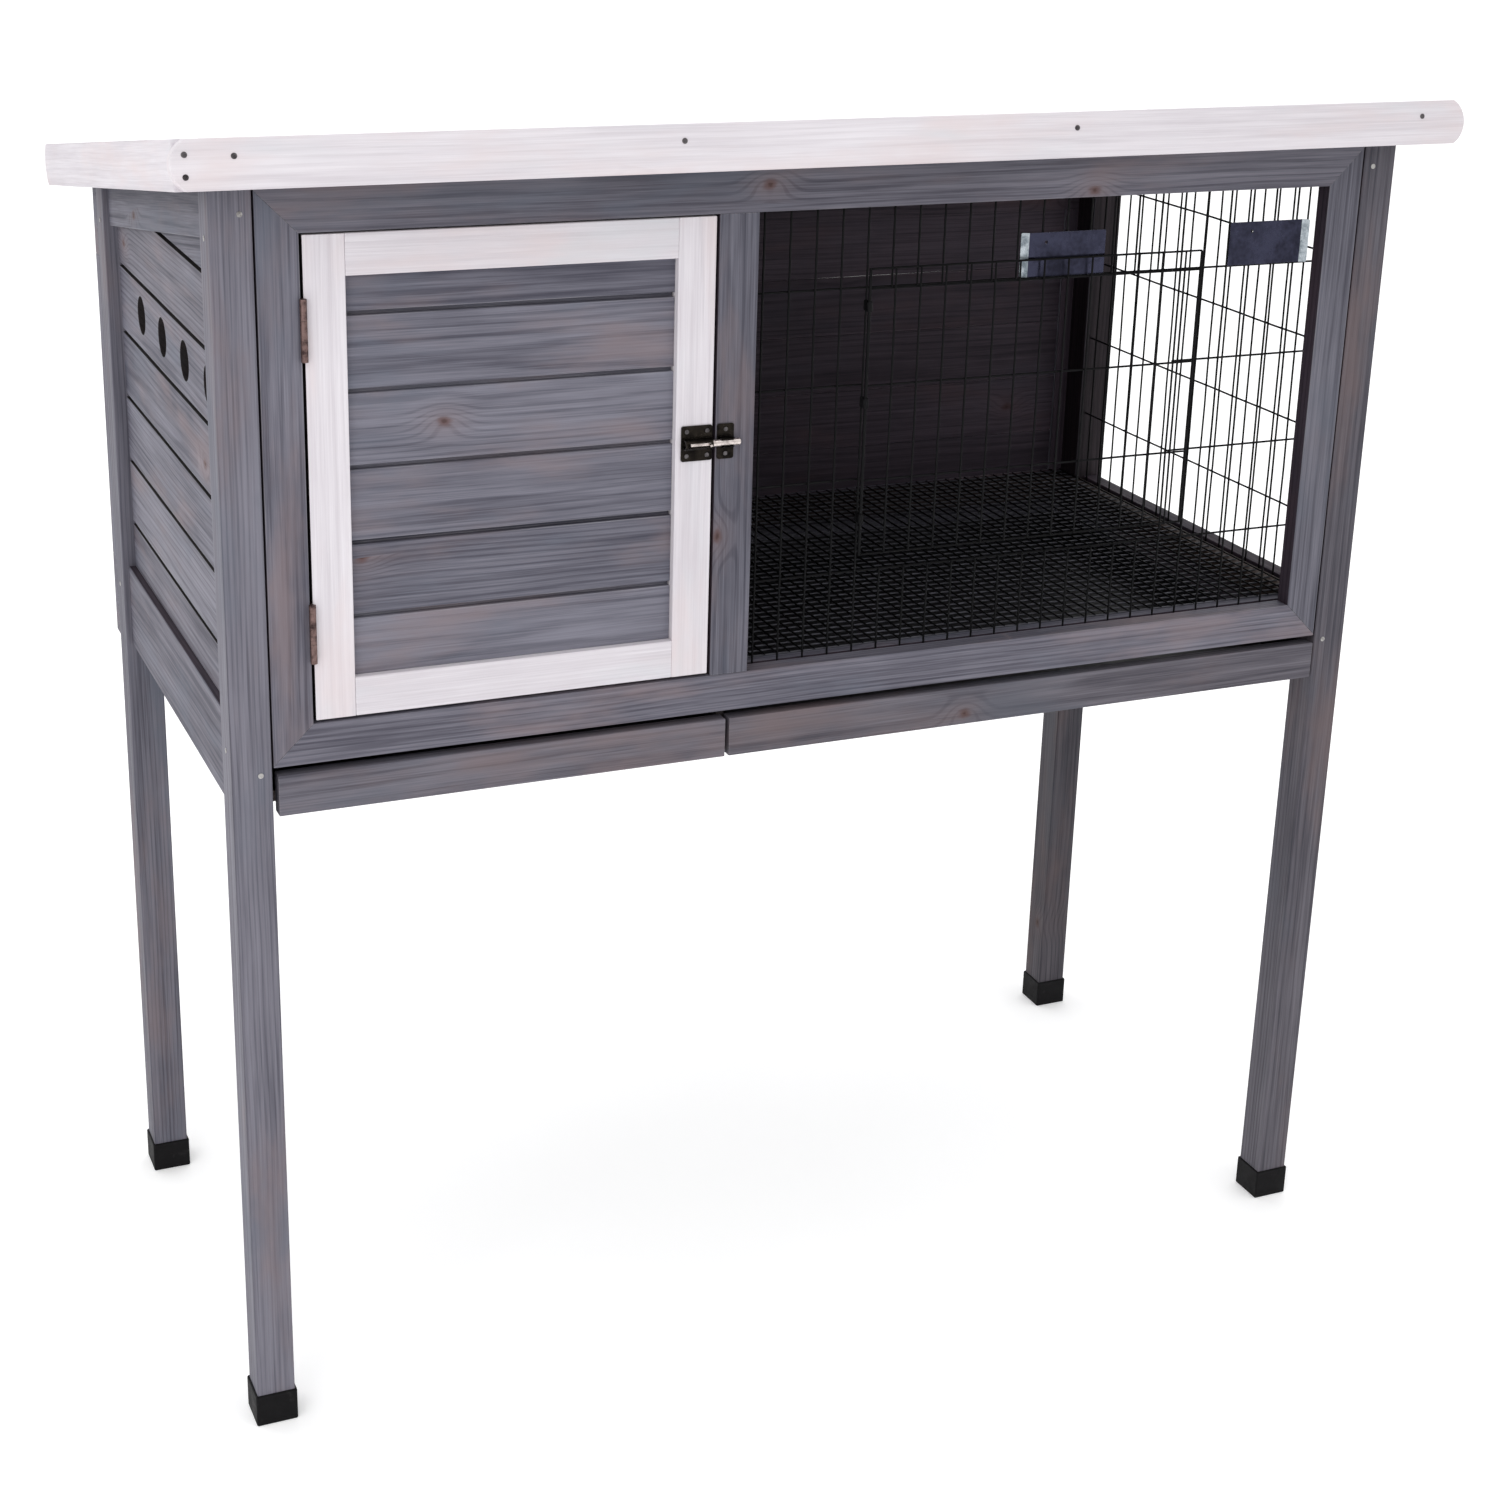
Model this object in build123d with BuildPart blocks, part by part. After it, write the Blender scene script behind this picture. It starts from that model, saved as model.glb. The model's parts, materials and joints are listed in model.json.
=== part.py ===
"""Single-storey rabbit hutch on four legs, with a hinged roof, a wooden door, a wire door and two trays.

Millimetres. +X runs to the right along the front, +Y to the back and +Z up.
The origin is on the ground under the middle of the roof.
"""

from build123d import *
from math import cos, radians, sin, tan
import os

os.makedirs("parts", exist_ok=True)

# ---------------------------------------------------------------- driving dimensions
WIDTH = 1140.0  # outside of the left legs to outside of the right legs
DEPTH = 520.0  # front of the front legs to back of the back legs
LEG = 35.0  # square leg section
FRONT_Y = -278.0  # front face of the legs
ROOF_FRONT_OVERHANG = 52.0
ROOF_SLOPE = 8.5  # degrees, falling to the back
REST_Z = 1152.0  # underside of the roof above the front face of the legs
ROOF_GAP = 0.5  # closed roof to the body

FRAME_WIDTH = 37.0  # face width of the front frame's members
FRAME_THICKNESS = 18.0
FRAME_SETBACK = 0.5  # front frame behind the face of the legs
FRAME_SEAM = (1.6, 9.0)  # shadow gap between the front frame and the legs, wide and deep
FRAME_BOTTOM = 655.0
BOTTOM_RAIL_TOP = 691.0
DIVIDE_X = -113.0  # middle of the mullion and of the split between the trays

END_RAIL_RECESS = 6.0  # end rails behind the outer face of the legs
END_BOARD_RECESS = 13.0
END_TOP_RAIL_HEIGHT = 41.5
END_BOTTOM_RAIL = (610.0, 693.0)

BOARD_PITCH = 65.3  # shiplap boards
BOARD_THICKNESS = 9.0
BOARD_GAP = 0.2
CHANNEL_HEIGHT = 4.0
CHANNEL_DEPTH = 6.0
DOOR_GROOVE_Z = 1044.8
END_GROOVE_Z = 1068.0

VENT_RADIUS = 18.0
VENT_PITCH = 97.0
VENT_SHIFT = -24.0  # middle of the vents from the middle of the left end

WIRE_RADIUS = 1.0
MESH_PITCH_X = 25.4
MESH_PITCH_Z = 88.9
MESH_BOTTOM_Z = 680.4  # lowest level wire of the wire panels
FLOOR_PITCH = 12.7
FLOOR_WIRE_RADIUS = 0.9

EASE = 1.0  # softened edge of planed wood
HAIR = 0.3  # clearance between moving pieces

# ---------------------------------------------------------------- worked-out places
LEFT_X = -WIDTH / 2
RIGHT_X = WIDTH / 2
BACK_Y = FRONT_Y + DEPTH
FRAME_FRONT = FRONT_Y + FRAME_SETBACK
FRAME_BACK = FRAME_FRONT + FRAME_THICKNESS
INNER_LEFT = LEFT_X + LEG
INNER_RIGHT = RIGHT_X - LEG
INNER_FRONT = FRONT_Y + LEG
INNER_BACK = BACK_Y - LEG
OPENING_LEFT = INNER_LEFT + FRAME_WIDTH
OPENING_RIGHT = INNER_RIGHT - FRAME_WIDTH
MULLION_LEFT = DIVIDE_X - FRAME_WIDTH / 2
MULLION_RIGHT = DIVIDE_X + FRAME_WIDTH / 2
SLOPE_TAN = tan(radians(ROOF_SLOPE))
ROOF_NORMAL = (0, sin(radians(ROOF_SLOPE)), cos(radians(ROOF_SLOPE)))
ROOF_PLANE = Plane(origin=(0, FRONT_Y, REST_Z), x_dir=(1, 0, 0), z_dir=ROOF_NORMAL)


def roof_z(y, below=0.0):
    """Height of the roof's underside at depth y, or of a plane that far below it."""
    return REST_Z - SLOPE_TAN * (y - FRONT_Y) - below / cos(radians(ROOF_SLOPE))


FRAME_TOP = roof_z(FRAME_BACK, ROOF_GAP)
TOP_RAIL_BOTTOM = FRAME_TOP - FRAME_WIDTH


def save(piece, label):
    """Name a finished piece and write it."""
    piece.part.label = label
    export_step(piece.part, f"parts/{label}.step")


def span_box(x, y, z):
    """A box between two corners, added to the part in hand."""
    with BuildSketch(Plane.XY.offset(z[0])) as section:
        with Locations(((x[0] + x[1]) / 2, (y[0] + y[1]) / 2)):
            Rectangle(x[1] - x[0], y[1] - y[0])
    extrude(section.sketch, amount=z[1] - z[0])


def board(label, x, y, z, along=Axis.X, under_roof=False, ease=EASE):
    """A planed board with softened long edges, its top cut to the roof's slope if asked."""
    with BuildPart() as piece:
        span_box(x, y, z)
        if ease:
            fillet(piece.edges().filter_by(along), ease)
        if under_roof:
            split(bisect_by=ROOF_PLANE.offset(-ROOF_GAP), keep=Keep.BOTTOM)
    save(piece, label)


def shiplap_boards(label, plane, grooves, low, high, length, cut_below_roof=0.0, vents=()):
    """Level boards with a channel between them.

    The plane's X points from the outer face inwards, its Y is up and the boards run along its normal.
    """
    edges = [low] + [z for z in sorted(grooves) if low < z < high] + [high]
    with BuildPart() as boards:
        for foot, head in zip(edges[:-1], edges[1:]):
            with BuildSketch(plane):
                with Locations((0, foot)):
                    Rectangle(BOARD_THICKNESS, head - BOARD_GAP - foot, align=Align.MIN)
                if head < high:
                    with Locations((0, head)):
                        Rectangle(
                            CHANNEL_DEPTH,
                            CHANNEL_HEIGHT,
                            align=(Align.MIN, Align.MAX),
                            mode=Mode.SUBTRACT,
                        )
            extrude(amount=length)
        if vents:
            with BuildSketch(Plane.YZ.offset(LEFT_X)):
                with Locations(*vents):
                    Circle(VENT_RADIUS)
            extrude(amount=LEG, mode=Mode.SUBTRACT)
        if cut_below_roof:
            split(bisect_by=ROOF_PLANE.offset(-cut_below_roof), keep=Keep.BOTTOM)
    save(boards, label)


def rod(start, end, radius):
    """A straight wire or pin from start to end, added to the part in hand."""
    axis = Vector(*end) - Vector(*start)
    with BuildSketch(Plane(origin=start, z_dir=axis)) as section:
        Circle(radius)
    extrude(section.sketch, amount=axis.length)


# ---------------------------------------------------------------- legs and foot caps
FOOT_CAP_HEIGHT = 32.0
FOOT_CAP_WALL = 1.9
FOOT_CAP_FLOOR = 3.0
FOOT_CAP_ROUND = 1.5
LEG_CENTRES = {
    "front_left_leg": (LEFT_X + LEG / 2, FRONT_Y + LEG / 2),
    "front_right_leg": (RIGHT_X - LEG / 2, FRONT_Y + LEG / 2),
    "back_left_leg": (LEFT_X + LEG / 2, BACK_Y - LEG / 2),
    "back_right_leg": (RIGHT_X - LEG / 2, BACK_Y - LEG / 2),
}

for leg_name, (leg_x, leg_y) in LEG_CENTRES.items():
    board(
        leg_name,
        (leg_x - LEG / 2, leg_x + LEG / 2),
        (leg_y - LEG / 2, leg_y + LEG / 2),
        (FOOT_CAP_FLOOR, REST_Z + LEG),
        along=Axis.Z,
        under_roof=True,
        ease=1.5,
    )

with BuildPart() as foot_caps:
    with BuildSketch():
        with Locations(*LEG_CENTRES.values()):
            Rectangle(LEG + 2 * FOOT_CAP_WALL, LEG + 2 * FOOT_CAP_WALL)
    extrude(amount=FOOT_CAP_HEIGHT)
    fillet(foot_caps.edges().filter_by(Axis.Z), FOOT_CAP_WALL)
    fillet(foot_caps.faces().filter_by(Axis.Z).edges(), FOOT_CAP_ROUND)
    with BuildSketch(Plane.XY.offset(FOOT_CAP_FLOOR)):
        with Locations(*LEG_CENTRES.values()):
            Rectangle(LEG, LEG)
    extrude(amount=FOOT_CAP_HEIGHT, mode=Mode.SUBTRACT)
save(foot_caps, "foot_caps")

# ---------------------------------------------------------------- mitred front frame
MITRE_PLANE = Plane.XZ.offset(-FRAME_FRONT)


def mitred_member(label, outline):
    """One member of the front frame, from its mitred outline in X and Z, set off from the legs by a seam."""
    with BuildPart() as member:
        with BuildSketch(MITRE_PLANE):
            with BuildLine():
                Polyline(*outline, close=True)
            make_face()
        extrude(amount=-FRAME_THICKNESS)
        fillet(member.edges().filter_by(Plane.XZ).sort_by(SortBy.LENGTH)[-2:], EASE)
        with BuildSketch(Plane.XY.offset(FRAME_BOTTOM)) as seams:
            for seam_x, side in ((INNER_LEFT, Align.MIN), (INNER_RIGHT, Align.MAX)):
                with Locations((seam_x, FRAME_FRONT)):
                    Rectangle(*FRAME_SEAM, align=(side, Align.MIN))
        extrude(seams.sketch, amount=FRAME_TOP - FRAME_BOTTOM, mode=Mode.SUBTRACT)
    save(member, label)


mitred_member("front_top_rail", [
    (INNER_LEFT, FRAME_TOP),
    (INNER_RIGHT, FRAME_TOP),
    (OPENING_RIGHT, TOP_RAIL_BOTTOM),
    (OPENING_LEFT, TOP_RAIL_BOTTOM),
])
mitred_member("front_bottom_rail", [
    (INNER_LEFT, FRAME_BOTTOM),
    (INNER_RIGHT, FRAME_BOTTOM),
    (OPENING_RIGHT, BOTTOM_RAIL_TOP),
    (OPENING_LEFT, BOTTOM_RAIL_TOP),
])
mitred_member("front_left_stile", [
    (INNER_LEFT, FRAME_BOTTOM),
    (OPENING_LEFT, BOTTOM_RAIL_TOP),
    (OPENING_LEFT, TOP_RAIL_BOTTOM),
    (INNER_LEFT, FRAME_TOP),
])
mitred_member("front_right_stile", [
    (INNER_RIGHT, FRAME_BOTTOM),
    (OPENING_RIGHT, BOTTOM_RAIL_TOP),
    (OPENING_RIGHT, TOP_RAIL_BOTTOM),
    (INNER_RIGHT, FRAME_TOP),
])
board(
    "front_mullion",
    (MULLION_LEFT, MULLION_RIGHT),
    (FRAME_FRONT, FRAME_BACK),
    (BOTTOM_RAIL_TOP, TOP_RAIL_BOTTOM),
    along=Axis.Z,
)

# ---------------------------------------------------------------- end frames


def end_top_rail(label, x):
    """Rail that follows the roof's slope between the front and back legs."""
    with BuildPart() as rail:
        span_box(x, (INNER_FRONT, INNER_BACK), (roof_z(INNER_BACK) - 2 * LEG, REST_Z))
        split(bisect_by=ROOF_PLANE.offset(-ROOF_GAP), keep=Keep.BOTTOM)
        split(bisect_by=ROOF_PLANE.offset(-ROOF_GAP - END_TOP_RAIL_HEIGHT), keep=Keep.TOP)
    save(rail, label)


LEFT_RAIL_X = (LEFT_X + END_RAIL_RECESS, LEFT_X + END_RAIL_RECESS + FRAME_THICKNESS)
RIGHT_RAIL_X = (-LEFT_RAIL_X[1], -LEFT_RAIL_X[0])

for side, rail_x in (("left", LEFT_RAIL_X), ("right", RIGHT_RAIL_X)):
    end_top_rail(f"{side}_top_rail", rail_x)
    board(f"{side}_bottom_rail", rail_x, (INNER_FRONT, INNER_BACK), END_BOTTOM_RAIL, along=Axis.Y)

END_GROOVES = [END_GROOVE_Z - BOARD_PITCH * step for step in range(8)]
VENT_Z = END_GROOVES[1] - BOARD_PITCH / 2
VENT_MIDDLE_Y = (INNER_FRONT + INNER_BACK) / 2 + VENT_SHIFT
shiplap_boards(
    "left_end_boards",
    Plane(origin=(LEFT_X + END_BOARD_RECESS, INNER_BACK, 0), x_dir=(1, 0, 0), z_dir=(0, -1, 0)),
    END_GROOVES,
    END_BOTTOM_RAIL[1],
    roof_z(INNER_FRONT),
    INNER_BACK - INNER_FRONT,
    cut_below_roof=ROOF_GAP + END_TOP_RAIL_HEIGHT,
    vents=[(VENT_MIDDLE_Y + VENT_PITCH * step, VENT_Z) for step in (-1.5, -0.5, 0.5, 1.5)],
)

# ---------------------------------------------------------------- back panel, behind the back legs
BACK_PANEL_Y = (BACK_Y, BACK_Y + FRAME_THICKNESS)
BACK_TOP_RAIL_HEIGHT = 70.0
BACK_RAIL_BOTTOM = roof_z(BACK_PANEL_Y[1]) - BACK_TOP_RAIL_HEIGHT
BACK_STILE = 50.0
BACK_BOARD_RECESS = 5.0

board(
    "back_top_rail",
    (LEFT_X, RIGHT_X),
    BACK_PANEL_Y,
    (BACK_RAIL_BOTTOM, REST_Z),
    under_roof=True,
    ease=0,
)
board("back_bottom_rail", (LEFT_X, RIGHT_X), BACK_PANEL_Y, END_BOTTOM_RAIL)
for side, stile_left in (("left", LEFT_X), ("right", RIGHT_X - BACK_STILE)):
    board(
        f"back_{side}_stile",
        (stile_left, stile_left + BACK_STILE),
        BACK_PANEL_Y,
        (END_BOTTOM_RAIL[1], BACK_RAIL_BOTTOM),
        along=Axis.Z,
    )
shiplap_boards(
    "back_boards",
    Plane(
        origin=(RIGHT_X - BACK_STILE, BACK_PANEL_Y[1] - BACK_BOARD_RECESS, 0),
        x_dir=(0, -1, 0),
        z_dir=(-1, 0, 0),
    ),
    END_GROOVES,
    END_BOTTOM_RAIL[1],
    BACK_RAIL_BOTTOM,
    WIDTH - 2 * BACK_STILE,
)

# ---------------------------------------------------------------- inner partition with its doorway
PARTITION_THICKNESS = 12.0
PARTITION_X = MULLION_LEFT
FLOOR_TOP = BOTTOM_RAIL_TOP + 4 * FLOOR_WIRE_RADIUS
DOORWAY_WIDTH = 170.0
DOORWAY_HEIGHT = 230.0
DOORWAY_Y = -30.0
PARTITION_CLEAR = 5.0  # behind the front wire panel

with BuildPart() as partition:
    with BuildSketch(Plane.YZ.offset(PARTITION_X)):
        with BuildLine():
            Polyline(
                (FRAME_BACK + PARTITION_CLEAR, FLOOR_TOP),
                (BACK_Y, FLOOR_TOP),
                (BACK_Y, roof_z(BACK_Y, ROOF_GAP)),
                (FRAME_BACK + PARTITION_CLEAR, roof_z(FRAME_BACK + PARTITION_CLEAR, ROOF_GAP)),
                close=True,
            )
        make_face()
        with Locations((DOORWAY_Y, FLOOR_TOP)):
            Rectangle(
                DOORWAY_WIDTH,
                DOORWAY_HEIGHT - DOORWAY_WIDTH / 2,
                align=(Align.CENTER, Align.MIN),
                mode=Mode.SUBTRACT,
            )
        with Locations((DOORWAY_Y, FLOOR_TOP + DOORWAY_HEIGHT - DOORWAY_WIDTH / 2)):
            Circle(DOORWAY_WIDTH / 2, mode=Mode.SUBTRACT)
    extrude(amount=PARTITION_THICKNESS)
save(partition, "partition")

# ---------------------------------------------------------------- wire panels and wire floor
PANEL_FRONT_WIRE_Y = FRAME_BACK + WIRE_RADIUS  # upright wires touch the back of the frame
PANEL_LEVEL_WIRE_Y = PANEL_FRONT_WIRE_Y + 2 * WIRE_RADIUS
WIRE_DOOR_HINGE_X = 20.0
WIRE_DOOR_PITCHES = 13
WIRE_OPENING_RIGHT = WIRE_DOOR_HINGE_X + MESH_PITCH_X * WIRE_DOOR_PITCHES
LEVELS = [MESH_BOTTOM_Z + MESH_PITCH_Z * step for step in range(6)]
WIRE_OPENING_Z = (LEVELS[1], LEVELS[4])
PANEL_X = (DIVIDE_X, OPENING_RIGHT + FRAME_WIDTH / 2)
PANEL_Z = (MESH_BOTTOM_Z - 5, LEVELS[5] + 5)


def in_opening(x):
    """Whether an upright wire would cross the wire door's opening."""
    return WIRE_DOOR_HINGE_X + 1 < x < WIRE_OPENING_RIGHT - 1


UPRIGHTS_X = [
    WIRE_DOOR_HINGE_X + MESH_PITCH_X * step
    for step in range(-5, 20)
    if PANEL_X[0] < WIRE_DOOR_HINGE_X + MESH_PITCH_X * step < PANEL_X[1]
]

with BuildPart() as front_wire_panel:
    for wire_x in UPRIGHTS_X:
        if in_opening(wire_x):
            spans = [(PANEL_Z[0], WIRE_OPENING_Z[0]), (WIRE_OPENING_Z[1], PANEL_Z[1])]
        else:
            spans = [PANEL_Z]
        for span_low, span_high in spans:
            rod(
                (wire_x, PANEL_FRONT_WIRE_Y, span_low),
                (wire_x, PANEL_FRONT_WIRE_Y, span_high),
                WIRE_RADIUS,
            )
    for level in LEVELS:
        if WIRE_OPENING_Z[0] + 1 < level < WIRE_OPENING_Z[1] - 1:
            spans = [(PANEL_X[0], WIRE_DOOR_HINGE_X), (WIRE_OPENING_RIGHT, PANEL_X[1])]
        else:
            spans = [PANEL_X]
        for span_left, span_right in spans:
            rod(
                (span_left, PANEL_LEVEL_WIRE_Y, level),
                (span_right, PANEL_LEVEL_WIRE_Y, level),
                WIRE_RADIUS,
            )
save(front_wire_panel, "front_wire_panel")

END_WIRE_X = RIGHT_RAIL_X[0] - WIRE_RADIUS
END_WIRE_OVERLAP = 12.0  # onto the rails above and below
END_UPRIGHTS = 18
END_WIRE_MIDDLE_Y = (INNER_FRONT + INNER_BACK) / 2

with BuildPart() as right_wire_panel:
    for step in range(END_UPRIGHTS):
        wire_y = END_WIRE_MIDDLE_Y + (step - (END_UPRIGHTS - 1) / 2) * MESH_PITCH_X
        rod(
            (END_WIRE_X, wire_y, END_BOTTOM_RAIL[1] - END_WIRE_OVERLAP),
            (END_WIRE_X, wire_y, roof_z(wire_y, END_TOP_RAIL_HEIGHT - END_WIRE_OVERLAP)),
            WIRE_RADIUS,
        )
    for level in LEVELS[1:5]:
        rod(
            (END_WIRE_X - 2 * WIRE_RADIUS, INNER_FRONT, level),
            (END_WIRE_X - 2 * WIRE_RADIUS, INNER_BACK, level),
            WIRE_RADIUS,
        )
save(right_wire_panel, "right_wire_panel")

FLOOR_BEARING = 4.0  # on the front ledger
FLOOR_Y = (INNER_FRONT - FLOOR_BEARING, BACK_Y)
FLOOR_X = (INNER_LEFT + HAIR, INNER_RIGHT - HAIR)
FLOOR_LOWER_Z = BOTTOM_RAIL_TOP + FLOOR_WIRE_RADIUS
FLOOR_UPPER_Z = FLOOR_LOWER_Z + 2 * FLOOR_WIRE_RADIUS


def spread(ends, pitch, margin):
    """Places at an even pitch, centred between two ends and kept a margin inside them."""
    count = int((ends[1] - ends[0] - 2 * margin) / pitch)
    middle = (ends[0] + ends[1]) / 2
    return [middle + (step - count / 2) * pitch for step in range(count + 1)]


with BuildPart() as wire_floor:
    for wire_x in spread(FLOOR_X, FLOOR_PITCH, FLOOR_WIRE_RADIUS):
        rod((wire_x, FLOOR_Y[0], FLOOR_UPPER_Z), (wire_x, FLOOR_Y[1], FLOOR_UPPER_Z), FLOOR_WIRE_RADIUS)
    for wire_y in spread(FLOOR_Y, FLOOR_PITCH, FLOOR_WIRE_RADIUS):
        rod((FLOOR_X[0], wire_y, FLOOR_LOWER_Z), (FLOOR_X[1], wire_y, FLOOR_LOWER_Z), FLOOR_WIRE_RADIUS)
save(wire_floor, "wire_floor")

# ---------------------------------------------------------------- ledgers and runners under the floor
LEDGER_WIDTH = 20.0
LEDGER_HEIGHT = 20.0
RUNNER_HEIGHT = 10.0
RUNNER_WIDTH = 32.0
RUNNER_TOP = END_BOTTOM_RAIL[0] + RUNNER_HEIGHT
WEB = 8.0
LEDGER_Z = (BOTTOM_RAIL_TOP - LEDGER_HEIGHT, BOTTOM_RAIL_TOP)
RIGHT_LEDGER_FACE = END_WIRE_X - 3 * WIRE_RADIUS

LEDGER_SPACE = 0.2  # between the corners of two ledgers

with BuildPart() as floor_ledgers:
    side_ledger_y = (INNER_FRONT + LEDGER_SPACE, INNER_BACK - LEDGER_SPACE)
    for ledger_left in (LEFT_RAIL_X[1], RIGHT_LEDGER_FACE - LEDGER_WIDTH):
        span_box((ledger_left, ledger_left + LEDGER_WIDTH), side_ledger_y, LEDGER_Z)
    span_box(FLOOR_X, (INNER_BACK, BACK_Y), LEDGER_Z)
save(floor_ledgers, "floor_ledgers")
board("front_ledger", FLOOR_X, (FRAME_BACK + PARTITION_CLEAR, INNER_FRONT), LEDGER_Z, ease=0.6)

with BuildPart() as side_tray_runners:
    for runner_left in (LEFT_RAIL_X[1], RIGHT_RAIL_X[0] - RUNNER_WIDTH):
        span_box(
            (runner_left, runner_left + RUNNER_WIDTH),
            (INNER_FRONT, INNER_BACK),
            (END_BOTTOM_RAIL[0], RUNNER_TOP),
        )
save(side_tray_runners, "side_tray_runners")

with BuildPart() as centre_tray_runner:
    span_box(
        (DIVIDE_X - RUNNER_WIDTH, DIVIDE_X + RUNNER_WIDTH),
        (FRAME_BACK, BACK_Y),
        (END_BOTTOM_RAIL[0], RUNNER_TOP),
    )
    span_box((DIVIDE_X - WEB / 2, DIVIDE_X + WEB / 2), (FRAME_BACK, BACK_Y), (RUNNER_TOP, LEDGER_Z[0]))
save(centre_tray_runner, "centre_tray_runner")

# ---------------------------------------------------------------- pull-out trays
TRAY_FRONT_Z = (610.0, 647.0)
TRAY_FRONT_THICKNESS = 15.0
TRAY_GAP = 1.9  # between the two fronts, each side of the split
LEFT_TRAY_CLEAR = 5.0
RIGHT_TRAY_CLEAR = 1.2
PAN_CLEAR = 6.0
PAN_BACK_CLEAR = 8.0
PAN_HEIGHT = 24.0
PAN_WALL = 1.5
TRAYS = {
    "left": (INNER_LEFT + LEFT_TRAY_CLEAR, DIVIDE_X - TRAY_GAP),
    "right": (DIVIDE_X + TRAY_GAP, INNER_RIGHT - RIGHT_TRAY_CLEAR),
}

for side, (tray_left, tray_right) in TRAYS.items():
    board(
        f"{side}_tray_front",
        (tray_left, tray_right),
        (FRONT_Y, FRONT_Y + TRAY_FRONT_THICKNESS),
        TRAY_FRONT_Z,
    )
    with BuildPart() as tray_pan:
        span_box(
            (tray_left + PAN_CLEAR, tray_right - PAN_CLEAR),
            (FRONT_Y + TRAY_FRONT_THICKNESS, BACK_Y - PAN_BACK_CLEAR),
            (RUNNER_TOP + HAIR, RUNNER_TOP + HAIR + PAN_HEIGHT),
        )
        fillet(tray_pan.edges().filter_by(Axis.Z), 6)
        offset(amount=-PAN_WALL, openings=tray_pan.faces().sort_by(Axis.Z)[-1])
    save(tray_pan, f"{side}_tray_pan")

# ---------------------------------------------------------------- wooden door
DOOR_GAP = 1.5
HINGE_SIDE_GAP = 2.5
LATCH_SIDE_GAP = 3.0
DOOR_MEMBER = 35.0
DOOR_LEFT = OPENING_LEFT + HINGE_SIDE_GAP
DOOR_RIGHT = MULLION_LEFT - LATCH_SIDE_GAP
DOOR_BOTTOM = BOTTOM_RAIL_TOP + 3.0
DOOR_TOP = TOP_RAIL_BOTTOM - DOOR_GAP
DOOR_Y = (FRAME_FRONT, FRAME_BACK)
DOOR_BOARD_RECESS = 7.0
DOOR_PANEL_X = (DOOR_LEFT + DOOR_MEMBER, DOOR_RIGHT - DOOR_MEMBER)
DOOR_PANEL_Z = (DOOR_BOTTOM + DOOR_MEMBER, DOOR_TOP - DOOR_MEMBER)

board("door_hinge_stile", (DOOR_LEFT, DOOR_PANEL_X[0]), DOOR_Y, (DOOR_BOTTOM, DOOR_TOP), along=Axis.Z)
board("door_latch_stile", (DOOR_PANEL_X[1], DOOR_RIGHT), DOOR_Y, (DOOR_BOTTOM, DOOR_TOP), along=Axis.Z)
board("door_top_rail", DOOR_PANEL_X, DOOR_Y, (DOOR_PANEL_Z[1], DOOR_TOP))
board("door_bottom_rail", DOOR_PANEL_X, DOOR_Y, (DOOR_BOTTOM, DOOR_PANEL_Z[0]))
shiplap_boards(
    "door_boards",
    Plane(origin=(DOOR_PANEL_X[0], FRAME_FRONT + DOOR_BOARD_RECESS, 0), x_dir=(0, 1, 0), z_dir=(1, 0, 0)),
    [DOOR_GROOVE_Z - BOARD_PITCH * step for step in range(5)],
    DOOR_PANEL_Z[0],
    DOOR_PANEL_Z[1],
    DOOR_PANEL_X[1] - DOOR_PANEL_X[0],
)

# ---------------------------------------------------------------- butt hinges of the wooden door
HINGE_LENGTH = 52.0
HINGE_LEAF = 1.0
HINGE_BARREL = 3.0
HINGE_PIN = 1.4
HINGE_PIN_CLEAR = 0.05
HINGE_X = OPENING_LEFT + HINGE_SIDE_GAP / 2
HINGE_Y = FRAME_FRONT - HINGE_BARREL - HAIR
HINGE_CENTRES = (1033.0, 773.0)
KNUCKLE = HINGE_LENGTH / 3


def hinge_leaf(x, centre_z):
    """A flat leaf in the gap at the hinge side, from the barrel back along the wood's edge."""
    span_box(
        x,
        (HINGE_Y, FRAME_BACK - 2),
        (centre_z - HINGE_LENGTH / 2, centre_z + HINGE_LENGTH / 2),
    )


def knuckle(centre_z, low, high):
    """A rolled knuckle between two heights, measured from the middle of the hinge."""
    rod((HINGE_X, HINGE_Y, centre_z + low), (HINGE_X, HINGE_Y, centre_z + high), HINGE_BARREL)


def clear_knuckle(centre_z, low, high):
    """Room for the other leaf's knuckle."""
    with BuildSketch(Plane.XY.offset(centre_z + low)) as section:
        with Locations((HINGE_X, HINGE_Y)):
            Circle(HINGE_BARREL + HAIR)
    extrude(section.sketch, amount=high - low, mode=Mode.SUBTRACT)


with BuildPart() as door_hinge_frame_leaves:
    for hinge_z in HINGE_CENTRES:
        hinge_leaf((OPENING_LEFT, OPENING_LEFT + HINGE_LEAF), hinge_z)
        clear_knuckle(hinge_z, -KNUCKLE / 2, KNUCKLE / 2)
        knuckle(hinge_z, -HINGE_LENGTH / 2, -KNUCKLE / 2)
        knuckle(hinge_z, KNUCKLE / 2, HINGE_LENGTH / 2)
        rod(
            (HINGE_X, HINGE_Y, hinge_z - HINGE_LENGTH / 2),
            (HINGE_X, HINGE_Y, hinge_z + HINGE_LENGTH / 2),
            HINGE_PIN,
        )
save(door_hinge_frame_leaves, "door_hinge_frame_leaves")

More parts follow.
